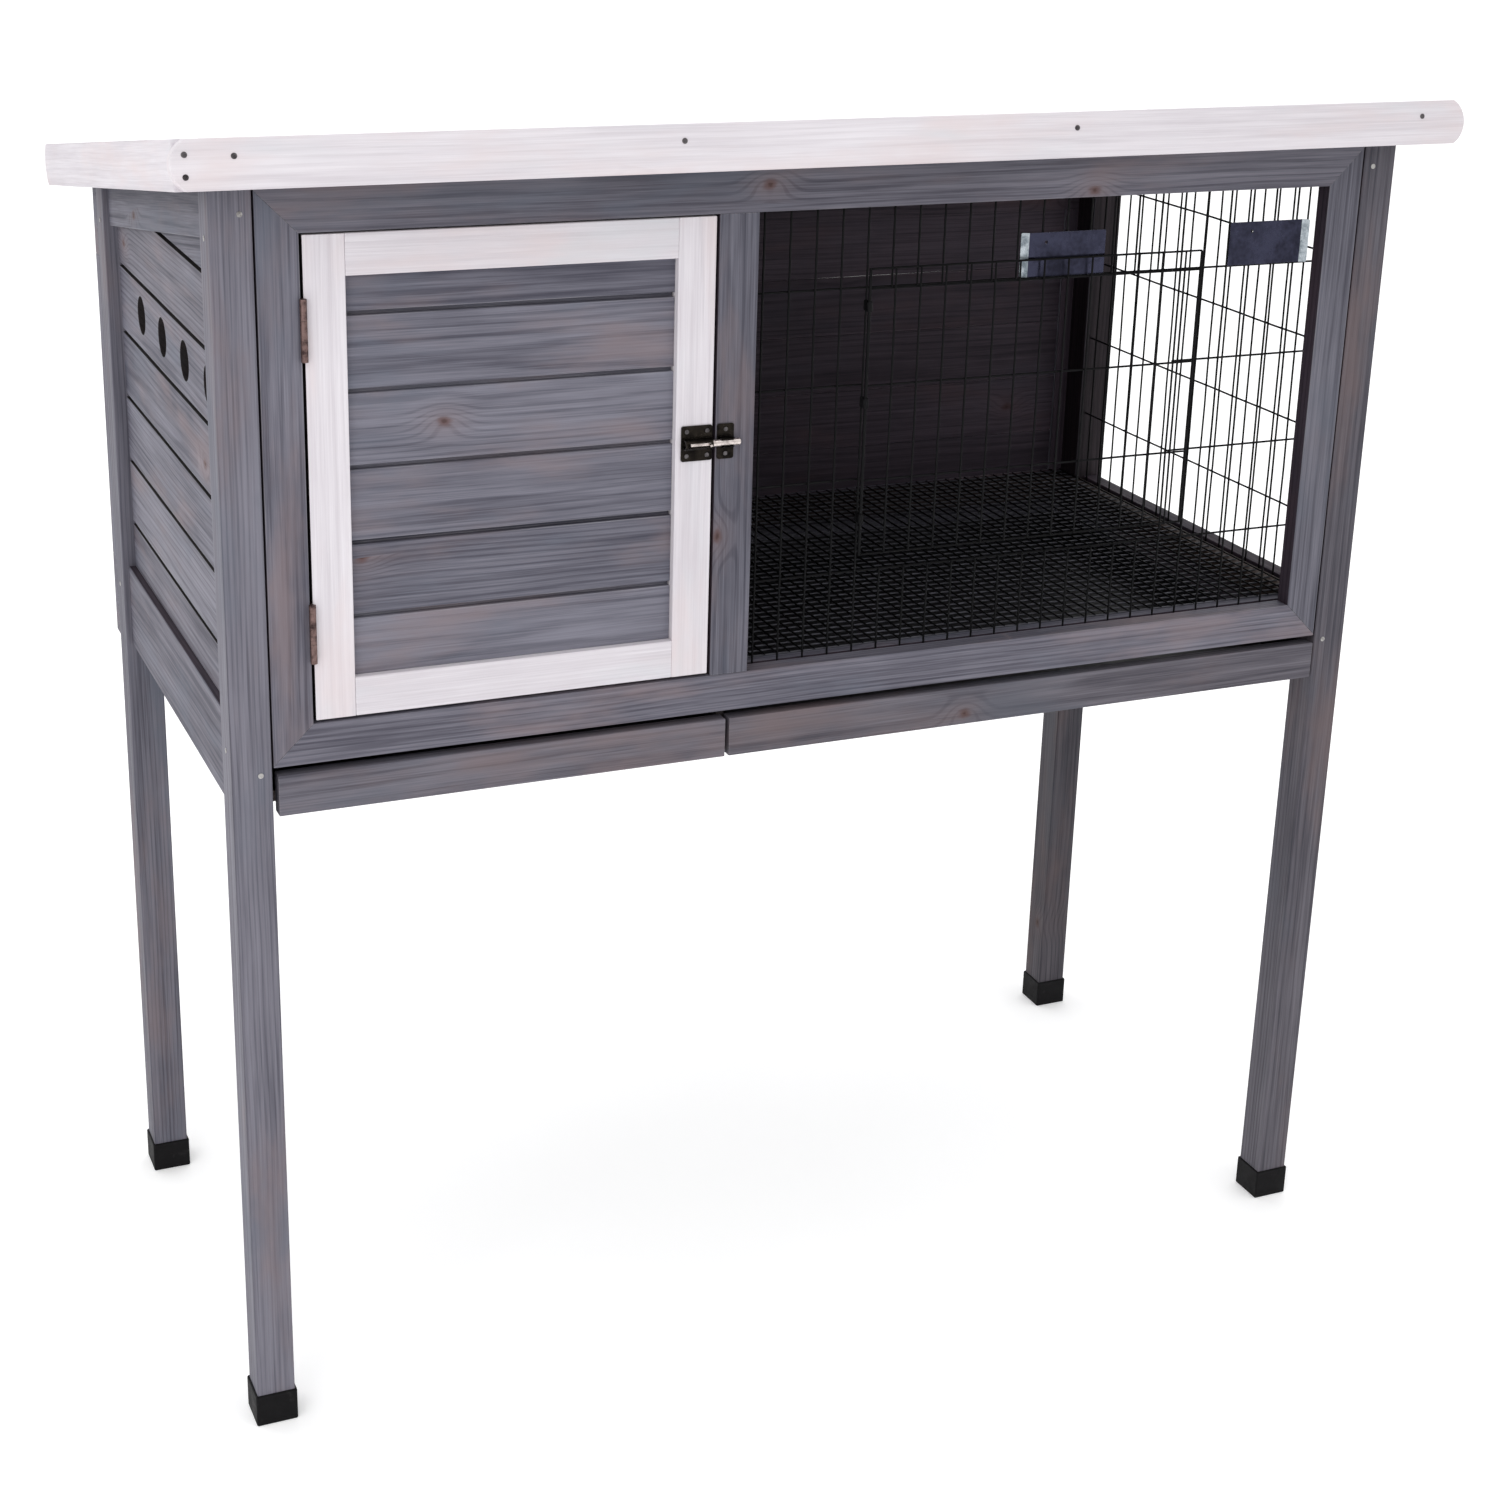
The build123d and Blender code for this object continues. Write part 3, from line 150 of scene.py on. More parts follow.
def timber(name, tones, knot, edge, ring_depth, knot_share, roughness, bump, browning=1.0, shaded=None):
    """Softwood under a thin stain: growth rings, fibres, blotches, knots and worn edges.

    The grain attribute runs along each board in metres from a pith beside it, and the board attribute
    holds three shares, so every board differs: a random tone, a darkening that is painted shade on some
    members and a small random stain depth on the others, and a browning. The tones are light, dark, warm
    and cool. Wood above the height in shaded is multiplied by a dark tint, painted shade for the inside
    of the hutch.
    """
    light, dark, warm, cool = tones
    g = Graph(name)
    grain = g.attribute("grain")
    along, across, deep = g.split(grain)[:3]
    luck = g.split(g.attribute("board"))
    drift = g.noise(g.vector("MULTIPLY", grain, (2.2, 9.0, 9.0)), 1.0, 2.0, output=1)
    drift = g.vector("MULTIPLY", g.vector("SUBTRACT", drift, (0.5, 0.5, 0.5)), (0.0, 0.016, 0.016))

    cell = g.join(
        g.math("MULTIPLY", along, 3.1), g.math("MULTIPLY", across, 14.0), g.math("MULTIPLY", luck[2], 9.0)
    )
    voronoi = g.node("ShaderNodeTexVoronoi", {"Vector": cell, "Scale": 1.0})
    away = g.split(g.vector("SUBTRACT", cell, voronoi.outputs["Position"]))
    from_knot = g.length(g.join(g.math("DIVIDE", away[0], 4.6), g.math("DIVIDE", away[1], 14.0), 0.0))
    chosen = g.band(g.split(voronoi.outputs["Color"])[0], 1.0 - knot_share, 1.02 - knot_share)
    swell = g.math("POWER", g.math("DIVIDE", from_knot, 0.014), 2.0)
    swell = g.math("EXPONENT", g.math("MULTIPLY", swell, -1.0))
    swell = g.math("MULTIPLY", swell, chosen)
    ragged = g.math("MULTIPLY", g.noise(g.vector("MULTIPLY", grain, (70, 190, 190)), 1.0, 3.0), 0.006)
    knot_mask = g.math("MULTIPLY", g.band(g.math("ADD", from_knot, ragged), 0.0095, 0.0045), chosen)
    knot_heart = g.math("MULTIPLY", g.band(g.math("ADD", from_knot, ragged), 0.0052, 0.0035), chosen)

    bent = g.vector("ADD", g.vector("MULTIPLY", grain, (0.0, 1.0, 1.0)), drift)
    radius = g.math("ADD", g.length(bent), g.math("MULTIPLY", swell, 0.011))
    ring = g.math("SINE", g.math("MULTIPLY", radius, 2 * math.pi / 0.0043))
    latewood = g.band(ring, 0.1, 1.0)
    fibre = g.noise(g.vector("MULTIPLY", grain, (11.0, 760.0, 760.0)), 1.0, 3.0, 0.6)
    streak = g.noise(g.vector("MULTIPLY", grain, (3.0, 120.0, 120.0)), 1.0, 3.0, 0.6)
    blotch = g.noise(g.vector("MULTIPLY", grain, (4.5, 16.0, 16.0)), 1.0, 4.0, 0.6, output=1)
    blotch = g.split(blotch)
    crack = g.noise(g.vector("MULTIPLY", grain, (4.0, 240.0, 240.0)), 1.0, 1.0)

    tone = g.math("ADD", g.math("MULTIPLY", streak, 0.45), g.math("MULTIPLY", fibre, 0.5))
    tone = g.math("ADD", tone, g.math("MULTIPLY", blotch[2], 0.4))
    tone = g.math("ADD", tone, g.math("MULTIPLY", g.math("SUBTRACT", luck[0], 0.5), 0.2))
    tone = g.math("SUBTRACT", tone, g.math("MULTIPLY", latewood, ring_depth))
    colour = g.mix(g.band(tone, 0.34, 0.96), dark, light)
    warm_share = g.math("ADD", g.band(blotch[0], 0.5, 0.72), g.math("MULTIPLY", swell, 0.7), clamp=True)
    colour = g.mix(g.math("MULTIPLY", warm_share, 0.6), colour, warm)
    colour = g.mix(g.math("MULTIPLY", g.band(blotch[1], 0.52, 0.72), 0.6), colour, cool)
    colour = g.mix(g.math("MULTIPLY", g.band(crack, 0.72, 0.8), 0.3), colour, dark)
    colour = g.mix(g.math("MULTIPLY", knot_mask, 0.7), colour, knot)
    colour = g.mix(g.math("MULTIPLY", knot_heart, 0.55), colour, tuple(0.35 * c for c in knot[:3]) + (1.0,))
    worn = g.math("MULTIPLY", g.attribute("edge", "Fac"), g.band(fibre, 0.35, 0.7))
    colour = g.mix(g.math("MULTIPLY", worn, 0.4), colour, edge)
    colour = g.mix(g.math("MULTIPLY", luck[2], browning), colour, g.mix(1.0, colour, BROWNER, "MULTIPLY"))
    # the second board share darkens the colour: painted shade on some members, a small random stain depth on
    # the rest
    depth = g.math("SUBTRACT", 1.0, luck[1])
    colour = g.mix(1.0, colour, g.join(depth, depth, depth), "MULTIPLY")
    # painted shade: wood inside the hutch, above the height in shaded, is multiplied by a dark tint
    if shaded is not None:
        inside = g.band(g.split(g.place())[2], shaded - 10 * MM, shaded + 10 * MM)
        colour = g.mix(inside, colour, g.mix(1.0, colour, PAINTED_SHADE_TINT, "MULTIPLY"))
    height = g.math("SUBTRACT", g.math("MULTIPLY", fibre, 0.8), g.math("MULTIPLY", latewood, 0.35))
    height = g.math("ADD", height, g.math("MULTIPLY", knot_mask, 0.5))
    return g.finish(
        Base_Color=colour,
        Roughness=g.band(tone, 0.2, 0.9, roughness + 0.08, roughness - 0.06),
        Normal=g.bump(height, bump),
        Specular_IOR_Level=0.25,
    )


def powder_coat(name, colour, roughness, shine):
    """Black stove enamel on wire, slightly orange-peeled and greyed by handling."""
    g = Graph(name)
    place = g.place()
    peel = g.noise(place, 900.0, 2.0)
    dust = g.noise(place, 38.0, 4.0, 0.6)
    base = g.mix(g.band(dust, 0.45, 0.75), colour, tuple(1.8 * c for c in colour[:3]) + (1.0,))
    return g.finish(
        Base_Color=base,
        Roughness=g.band(dust, 0.3, 0.7, roughness - 0.08, roughness + 0.12),
        Normal=g.bump(peel, 0.12 * MM),
        Specular_IOR_Level=shine,
    )


def metal(name, colour, tarnish, bright, roughness, spots, bright_share=0.5):
    """Plated sheet or pin: tarnish in patches, a few dull spots and edges made bright: rubbed wear on most
    metals, a painted highlight on the panel plates.
    """
    g = Graph(name)
    place = g.place()
    brush = g.noise(place, 600.0, 2.0)
    patch = g.noise(place, spots, 4.0, 0.62)
    fine = g.noise(place, spots * 9.0, 2.0)
    amount = g.band(g.math("ADD", patch, g.math("MULTIPLY", fine, 0.25)), 0.5, 0.85)
    # bright edges: rubbed wear, and on the panel plates a painted highlight
    edge_wear_and_glint = g.math("MULTIPLY", g.attribute("edge", "Fac"), g.band(fine, 0.3, 0.7, 0.5, 1.0))
    colour = g.mix(g.math("MULTIPLY", edge_wear_and_glint, bright_share), g.mix(amount, colour, tarnish), bright)
    dulled = g.band(patch, 0.3, 0.7, roughness - 0.08, roughness + 0.14)
    return g.finish(
        Base_Color=colour,
        Metallic=1.0,
        Roughness=g.math("ADD", dulled, g.math("MULTIPLY", brush, 0.1)),
        Normal=g.bump(g.math("ADD", g.math("MULTIPLY", brush, 0.5), fine), 0.04 * MM),
    )


def rubber(name):
    """Moulded black rubber with a fine matt grain and chalky scuffs."""
    g = Graph(name)
    place = g.place()
    grain = g.noise(place, 1400.0, 2.0)
    scuff = g.noise(place, 70.0, 5.0, 0.7)
    base = g.mix(g.band(scuff, 0.55, 0.8), srgb(13, 12, 14), srgb(38, 37, 38))
    return g.finish(
        Base_Color=base,
        Roughness=g.band(scuff, 0.3, 0.75, 0.52, 0.74),
        Normal=g.bump(g.math("ADD", grain, g.math("MULTIPLY", scuff, 0.6)), 0.1 * MM),
        Specular_IOR_Level=0.12,
    )


def roofing_felt(name):
    """Bitumen felt with crushed mineral on it."""
    g = Graph(name)
    place = g.place()
    grit = g.node("ShaderNodeTexVoronoi", {"Vector": place, "Scale": 620.0})
    shade = g.split(grit.outputs["Color"])[0]
    patch = g.noise(place, 5.0, 5.0, 0.6)
    base = g.mix(g.math("MULTIPLY", shade, 0.8), srgb(66, 72, 70), srgb(118, 124, 120))
    base = g.mix(g.band(patch, 0.45, 0.75, 0.0, 0.5), base, srgb(84, 86, 82))
    height = g.math("ADD", g.math("SUBTRACT", 1.0, grit.outputs["Distance"]), g.math("MULTIPLY", patch, 2.0))
    return g.finish(Base_Color=base, Roughness=0.92, Normal=g.bump(height, 0.5 * MM), Specular_IOR_Level=0.25)


def moulded_plastic(name):
    """Dark matt polypropylene with a fine spark-eroded texture."""
    g = Graph(name)
    place = g.place()
    grain = g.noise(place, 1100.0, 2.0)
    cloud = g.noise(place, 9.0, 4.0, 0.6)
    base = g.mix(g.band(cloud, 0.4, 0.7), srgb(27, 27, 29), srgb(38, 38, 40))
    return g.finish(
        Base_Color=base,
        Roughness=g.band(cloud, 0.3, 0.7, 0.42, 0.56),
        Normal=g.bump(grain, 0.08 * MM),
    )


# how much painted shade darkens some members, as a deeper stain, and how much browner their stain is, as
# shares; the others draw small random ones
PAINTED_SHADE_DEPTH = {
    "back_right_leg": 0.56, "back_left_leg": 0.22, "front_right_leg": 0.4, "front_mullion": 0.22,
    "front_right_stile": 0.28, "front_left_stile": 0.08, "right_tray_front": 0.3, "left_tray_front": 0.22,
    "front_top_rail": 0.12, "left_top_rail": 0.12, "left_bottom_rail": 0.0, "door_boards": 0.08,
    "front_left_leg": 0.14, "door_top_rail": 0.0, "door_bottom_rail": 0.0, "door_hinge_stile": 0.0,
    "door_latch_stile": 0.0, "left_barge_board": 0.0, "fascia_board": 0.02,
}
STAIN_BROWN = {
    "front_right_leg": 0.45, "right_tray_front": 0.5, "left_tray_front": 0.3, "back_right_leg": 0.7,
    "front_top_rail": 0.2, "front_left_leg": 0.15, "door_boards": 0.0, "front_mullion": 0.0,
}
BROWNER = (0.98, 0.87, 0.8, 1.0)

# the inside of the hutch, behind the front frame and above the trays, where the wood gets painted shade
RAIL_LOW, RAIL_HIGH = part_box("front_bottom_rail")
BACK_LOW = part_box("back_bottom_rail")[0]
INSIDE_X = abs(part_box("left_end_boards")[0][0])
BACK_REBATE = 4 * MM
INSIDE_Y = (RAIL_LOW[1], BACK_LOW[1] + BACK_REBATE)
INSIDE_Z = RAIL_LOW[2]
# the dark tint of the painted shade inside the hutch
PAINTED_SHADE_TINT = (0.32, 0.24, 0.27, 1.0)

GREY_TONES = (srgb(131, 130, 142), srgb(70, 69, 81), srgb(132, 117, 120), srgb(100, 106, 120))
GREY_KNOT, GREY_EDGE = srgb(92, 62, 56), srgb(150, 149, 154)
MATERIALS = {
    "grey_wood": timber(
        "grey_wood", GREY_TONES, GREY_KNOT, GREY_EDGE,
        ring_depth=0.1, knot_share=0.3, roughness=0.66, bump=0.2 * MM,
    ),
    # grey wood with painted shade above the trays, for faces that look into the hutch
    "grey_wood_painted_shade": timber(
        "grey_wood_painted_shade", GREY_TONES, GREY_KNOT, GREY_EDGE,
        ring_depth=0.1, knot_share=0.3, roughness=0.7, bump=0.2 * MM, shaded=INSIDE_Z,
    ),
    "white_wood": timber(
        "white_wood", (srgb(224, 220, 225), srgb(196, 190, 196), srgb(214, 200, 201), srgb(204, 206, 211)),
        srgb(184, 158, 150), srgb(228, 226, 229),
        ring_depth=0.06, knot_share=0.16, roughness=0.6, bump=0.12 * MM, browning=0.15,
    ),
    "bare_wood": timber(
        "bare_wood", (srgb(74, 64, 62), srgb(36, 31, 31), srgb(84, 67, 58), srgb(58, 54, 56)),
        srgb(50, 36, 30), srgb(92, 82, 78),
        ring_depth=0.16, knot_share=0.2, roughness=0.75, bump=0.3 * MM,
    ),
    # dark wood that stands in for shade: painted shade on the partition, the left end boards' edges and vent
    # walls, and the hinge stile's face in the door gap
    "shade_painted_wood": timber(
        "shade_painted_wood", (srgb(42, 36, 38), srgb(24, 20, 22), srgb(46, 37, 35), srgb(34, 34, 38)),
        srgb(30, 22, 20), srgb(54, 48, 50),
        ring_depth=0.12, knot_share=0.16, roughness=0.74, bump=0.2 * MM,
    ),
    "black_wire": powder_coat("black_wire", srgb(10, 10, 12), roughness=0.62, shine=0.12),
    # a lighter, shinier wire for the floor's wires along x: painted highlight where they catch the light
    "floor_wire_painted_highlight": powder_coat("floor_wire_painted_highlight", srgb(70, 70, 77), roughness=0.46, shine=0.4),
    "antique_brass": metal(
        "antique_brass", srgb(40, 36, 32), srgb(18, 16, 16), srgb(168, 160, 150),
        roughness=0.28, spots=120.0, bright_share=0.6,
    ),
    "hinge_bronze": metal(
        "hinge_bronze", srgb(126, 104, 100), srgb(62, 50, 50), srgb(168, 148, 142),
        roughness=0.4, spots=160.0,
    ),
    "bolt_steel": metal(
        "bolt_steel", srgb(222, 212, 208), srgb(170, 160, 156), srgb(236, 230, 226),
        roughness=0.24, spots=160.0,
    ),
    "zinc_steel": metal(
        "zinc_steel", srgb(186, 184, 182), srgb(134, 131, 130), srgb(214, 212, 208),
        roughness=0.36, spots=160.0,
    ),
    "dark_zinc": metal(
        "dark_zinc", srgb(104, 100, 102), srgb(62, 58, 60), srgb(150, 148, 146),
        roughness=0.4, spots=160.0,
    ),
    # dark steel for the panel plates; its bright edges, at bright_share 0.9, are a painted highlight
    "plate_steel": metal(
        "plate_steel", srgb(60, 61, 78), srgb(38, 38, 49), srgb(210, 214, 220),
        roughness=0.22, spots=26.0, bright_share=0.9,
    ),
    # bright steel for the plates' bent ends: a painted highlight where they face the light
    "plate_painted_highlight": metal(
        "plate_painted_highlight", srgb(188, 196, 202), srgb(110, 120, 128), srgb(220, 224, 228),
        roughness=0.22, spots=90.0, bright_share=0.9,
    ),
    "black_rubber": rubber("black_rubber"),
    "roofing_felt": roofing_felt("roofing_felt"),
    "tray_plastic": moulded_plastic("tray_plastic"),
}


# ---------------------------------------------------------------- mesh helpers
def islands(node):
    """The solids of a CAD node, each as a welded bmesh in the row frame."""
    whole = bmesh.new()
    whole.from_mesh(NODES[node].data)
    bmesh.ops.remove_doubles(whole, verts=whole.verts, dist=2e-6)
    whole.faces.ensure_lookup_table()
    seen = set()
    found = []
    for start in whole.faces:
        if start.index in seen:
            continue
        seen.add(start.index)
        group, queue = [], [start]
        while queue:
            face = queue.pop()
            group.append(face)
            for edge in face.edges:
                for other in edge.link_faces:
                    if other.index not in seen:
                        seen.add(other.index)
                        queue.append(other)
        part = bmesh.new()
        copies = {}
        for face in group:
            for vert in face.verts:
                if vert.index not in copies:
                    copies[vert.index] = part.verts.new(vert.co)
            part.faces.new([copies[vert.index] for vert in face.verts])
        part.normal_update()
        found.append(part)
    whole.free()
    return found


def span(bm):
    """Lowest and highest corner of a bmesh."""
    co = np.array([v.co for v in bm.verts])
    return Vector(co.min(0)), Vector(co.max(0))


def piece(name, bm, body, materials, nodes=(), flat=False):
    """Turn a bmesh into a finished piece that rides on a body and stands for CAD nodes."""
    bm.normal_update()
    for edge in sharp_edges(bm, 55):
        edge.smooth = False
    mesh = bpy.data.meshes.new(name)
    bm.to_mesh(mesh)
    bm.free()
    obj = bpy.data.objects.new(name, mesh)
    bpy.context.scene.collection.objects.link(obj)
    for material in materials:
        mesh.materials.append(MATERIALS[material])
    mesh.shade_smooth()
    if not flat:
        weighted = obj.modifiers.new("even_faces", "WEIGHTED_NORMAL")
        weighted.keep_sharp = True
        weighted.weight = 90
    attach(obj, body)
    if nodes:
        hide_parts(*nodes)
    return obj


def join(target, source):
    """Add one bmesh to another, keeping the attributes that boards and metalwork carry."""
    source.verts.index_update()
    layers = [(target.verts.layers.float_vector.get(n) or target.verts.layers.float_vector.new(n),
               source.verts.layers.float_vector.get(n)) for n in ("grain", "board")]
    wear_and_glint_mark = target.faces.layers.float.get("edge") or target.faces.layers.float.new("edge")
    source_wear_and_glint_mark = source.faces.layers.float.get("edge")
    copies = {}
    for vert in source.verts:
        made = target.verts.new(vert.co)
        for to, origin in layers:
            if origin:
                made[to] = vert[origin]
        copies[vert.index] = made
    for face in source.faces:
        made = target.faces.new([copies[v.index] for v in face.verts])
        made.material_index = face.material_index
        made[wear_and_glint_mark] = face[source_wear_and_glint_mark]
    source.free()


def rounded(bm, degrees, width):
    """A simplified solid with its sharp edges bevelled and the new faces marked, for worn edges and, on the
    panel plates, for painted highlight.
    """
    bm = simplified(bm)
    wear_and_glint_mark = bm.faces.layers.float.new("edge")
    made = bmesh.ops.bevel(
        bm, geom=sharp_edges(bm, degrees), offset=width, segments=2, profile=0.6, affect="EDGES",
        clamp_overlap=True,
    )
    for face in made["faces"]:
        face[wear_and_glint_mark] = 1.0
    return bm


def simplified(bm):
    """A solid with few faces in place of its triangles, but with all of its holes and rims left open."""
    area = sum(f.calc_area() for f in bm.faces)
    if len(bm.verts) - len(bm.edges) + len(bm.faces) == 2:
        trial = bm.copy()
        bmesh.ops.dissolve_limit(trial, angle_limit=math.radians(1.0), verts=trial.verts, edges=trial.edges)
        if abs(sum(f.calc_area() for f in trial.faces) - area) < 1e-5 * area:
            bm.free()
            return trial
        trial.free()
    bmesh.ops.join_triangles(
        bm, faces=bm.faces, angle_face_threshold=math.radians(1.0), angle_shape_threshold=math.radians(170)
    )
    return bm


def sharp_edges(bm, degrees):
    return [e for e in bm.edges if len(e.link_faces) == 2 and e.calc_face_angle() > math.radians(degrees)]


def long_axis(bm):
    """Unit vectors along a board, across it and through it, found from its own sharp edges."""
    low, high = span(bm)
    size = high - low
    runs = []
    for edge in sharp_edges(bm, 3):
        arrow = edge.verts[1].co - edge.verts[0].co
        for run in runs:
            if abs(run.normalized().dot(arrow.normalized())) > 0.999:
                run += arrow if run.dot(arrow) > 0 else -arrow
                break
        else:
            runs.append(arrow.copy())
    axis = max(runs, key=lambda run: run.length).normalized()
    if max(axis, key=abs) < 0:
        axis.negate()
    others = sorted((i for i in range(3) if abs(axis[i]) < 0.5), key=lambda i: -size[i])
    across = Vector((0, 0, 0))
    across[others[0]] = 1
    across = (across - axis * across.dot(axis)).normalized()
    return axis, across, axis.cross(across)


STEP_OFF = 6 * MM
SILL_DEPTH = 20 * MM


def faces_inwards(face, leg):
    """Whether a face of the hutch looks into its inside, where it gets painted shade.

    The front and back of a left leg don't, and neither does the sill along the front frame.
    """
    if leg and abs(face.normal.y) > 0.5:
        return False
    spot = face.calc_center_median()
    off = spot + face.normal * STEP_OFF
    if face.normal.z > 0.5 and spot.y < RAIL_HIGH[1] + SILL_DEPTH:
        return False
    between_ends = abs(off.x) < INSIDE_X and INSIDE_Y[0] < off.y < INSIDE_Y[1]
    return between_ends and BACK_LOW[2] < off.z < roof_above(off.y)


def roof_above(y):
    """Height of the roof's underside at a depth, from the legs it rests on."""
    front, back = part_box("front_left_leg"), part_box("back_left_leg")
    slope = (back[1][2] - front[1][2]) / (back[0][1] - front[0][1])
    return front[1][2] + slope * (y - front[0][1])


LONG_EDGE = 90 * MM
PITH_DEPTH = (20 * MM, 50 * MM)
SWAY_SCALE = 9.0


def weather_board(bm, node, index, round_edge, sway, inner):
    """Round a board's edges, let them waver a little inside its own box, and lay its grain."""
    luck = random.Random(f"{node}{index}")
    along, across, deep = long_axis(bm)
    low, high = span(bm)
    middle = (low + high) / 2
    width = abs((high - low).dot(across))
    bm = rounded(bm, 28, round_edge)
    long_edges = [e for e in bm.edges if e.calc_length() > LONG_EDGE]
    bmesh.ops.subdivide_edges(bm, edges=long_edges, cuts=7)
    bm.normal_update()
    grain = bm.verts.layers.float_vector.new("grain")
    board = bm.verts.layers.float_vector.new("board")
    pith_along = luck.uniform(0, 40)
    pith_across = luck.uniform(-0.9, 0.9) * max(width, 30 * MM)
    pith = Vector((pith_along, pith_across, luck.choice((-1, 1)) * luck.uniform(*PITH_DEPTH)))
    # the second share is a set painted shade on listed members and a small random stain depth on the others
    depth, brown, tone = luck.uniform(0.0, 0.1), luck.uniform(0.0, 0.25), luck.random()
    shares = Vector((tone, PAINTED_SHADE_DEPTH.get(node, depth), STAIN_BROWN.get(node, brown)))
    offset = Vector((luck.random(), luck.random(), luck.random())) * 50
    # painted shade: the hinge stile's left face in the door gap and the left end boards' edges and vent walls
    # take the dark shade wood, and the hutch's inward faces take its second material, wood with painted shade
    for face in bm.faces:
        if node == "door_hinge_stile":
            face.material_index = int(face.normal.x < -0.9)
        elif node == "left_end_boards" and abs(face.normal.x) < 0.3:
            face.material_index = 2
        elif inner:
            face.material_index = int(faces_inwards(face, node.endswith("left_leg")))
    for vert in bm.verts:
        rel = vert.co - middle
        vert[grain] = Vector((rel.dot(along), rel.dot(across), rel.dot(deep))) + pith
        vert[board] = shares
    for vert in bm.verts:
        moved = vert.co + noise.noise_vector(vert.co * SWAY_SCALE + offset) * sway
        vert.co = [min(max(c, lowest), highest) for c, lowest, highest in zip(moved, low, high)]
    return bm


def boards(nodes, materials, round_edge=0.9 * MM, sway=0.16 * MM):
    """Detailed timber pieces, each standing for one CAD node."""
    for node in nodes:
        whole = bmesh.new()
        for index, part in enumerate(islands(node)):
            join(whole, weather_board(part, node, index, round_edge, sway, BODY_OF[node] == "hutch"))
        piece(f"{node}_timber", whole, BODY_OF[node], materials, (node,))


GREY = [n for n, s in SLOT_OF.items() if s == "grey_wood" and n not in ("back_boards", "partition")]
boards([n for n in GREY if BODY_OF[n] == "hutch"], ("grey_wood", "grey_wood_painted_shade", "shade_painted_wood"))
boards([n for n in GREY if BODY_OF[n] != "hutch"], ("grey_wood",))
boards(["back_boards"], ("grey_wood", "grey_wood_painted_shade"))
# the partition inside the hutch is all dark wood, painted shade
boards(["partition"], ("shade_painted_wood",))
boards([n for n, s in SLOT_OF.items() if s == "white_wood"], ("white_wood", "shade_painted_wood"))
boards([n for n, s in SLOT_OF.items() if s == "bare_wood"], ("bare_wood",), 0.5 * MM)


# ---------------------------------------------------------------- wires
def tube(bm, start, end, radius, seed, sides=10, wobble=0.25 * MM, step=0.03):
    """A drawn wire that isn't quite straight, with rounded ends."""
    axis = end - start
    length = axis.length
    axis.normalize()
    side = axis.orthogonal().normalized()
    other = axis.cross(side)
    count = max(2, int(length / step))
    offset = Vector((seed * 3.7, seed * 1.3, seed * 7.1))
    rings = [(-0.0, 0.55)] + [(0.35 * radius / length, 0.9)]
    rings += [(t / count, 1.0) for t in range(1, count)]
    rings += [(1 - 0.35 * radius / length, 0.9), (1.0, 0.55)]
    made = []
    for share, swell in rings:
        middle = start + axis * length * share
        taper = min(1.0, 8 * share, 8 * (1 - share))
        middle += noise.noise_vector(middle * 14 + offset) * wobble * taper
        ring = []
        for index in range(sides):
            angle = 2 * math.pi * index / sides
            outwards = side * math.cos(angle) + other * math.sin(angle)
            ring.append(bm.verts.new(middle + outwards * radius * swell))
        made.append(ring)
    faces = [bm.faces.new(made[0][::-1]), bm.faces.new(made[-1])]
    for first, second in zip(made[:-1], made[1:]):
        for index in range(sides):
            after = (index + 1) % sides
            faces.append(bm.faces.new((first[index], first[after], second[after], second[index])))
    return faces


def weld_bead(bm, place, normal, size, squash=1.0):
    """A small squashed nugget, such as where two wires are spot-welded."""
    side = normal.orthogonal().normalized()
    other = normal.cross(side)
    rings = []
    for height, width in ((-0.9, 0.35), (-0.4, 0.95), (0.4, 0.95), (0.9, 0.35)):
        ring = []
        for index in range(8):
            angle = math.pi * index / 4
            outwards = side * math.cos(angle) + other * math.sin(angle)
            ring.append(bm.verts.new(place + normal * height * size * squash + outwards * width * size))
        rings.append(ring)
    for first, second in zip(rings[:-1], rings[1:]):
        for index in range(8):
            after = (index + 1) % 8
            bm.faces.new((first[index], first[after], second[after], second[index]))
    bm.faces.new(rings[0][::-1])
    bm.faces.new(rings[-1])


def wire_runs(node):
    """Start, end and radius of each straight wire in a CAD node."""
    runs = []
    for part in islands(node):
        low, high = span(part)
        part.free()
        size = high - low
        axis = max(range(3), key=lambda i: size[i])
        middle = (low + high) / 2
        start, end = middle.copy(), middle.copy()
        start[axis], end[axis] = low[axis], high[axis]
        runs.append((start, end, min(size) / 2, axis))
    return runs


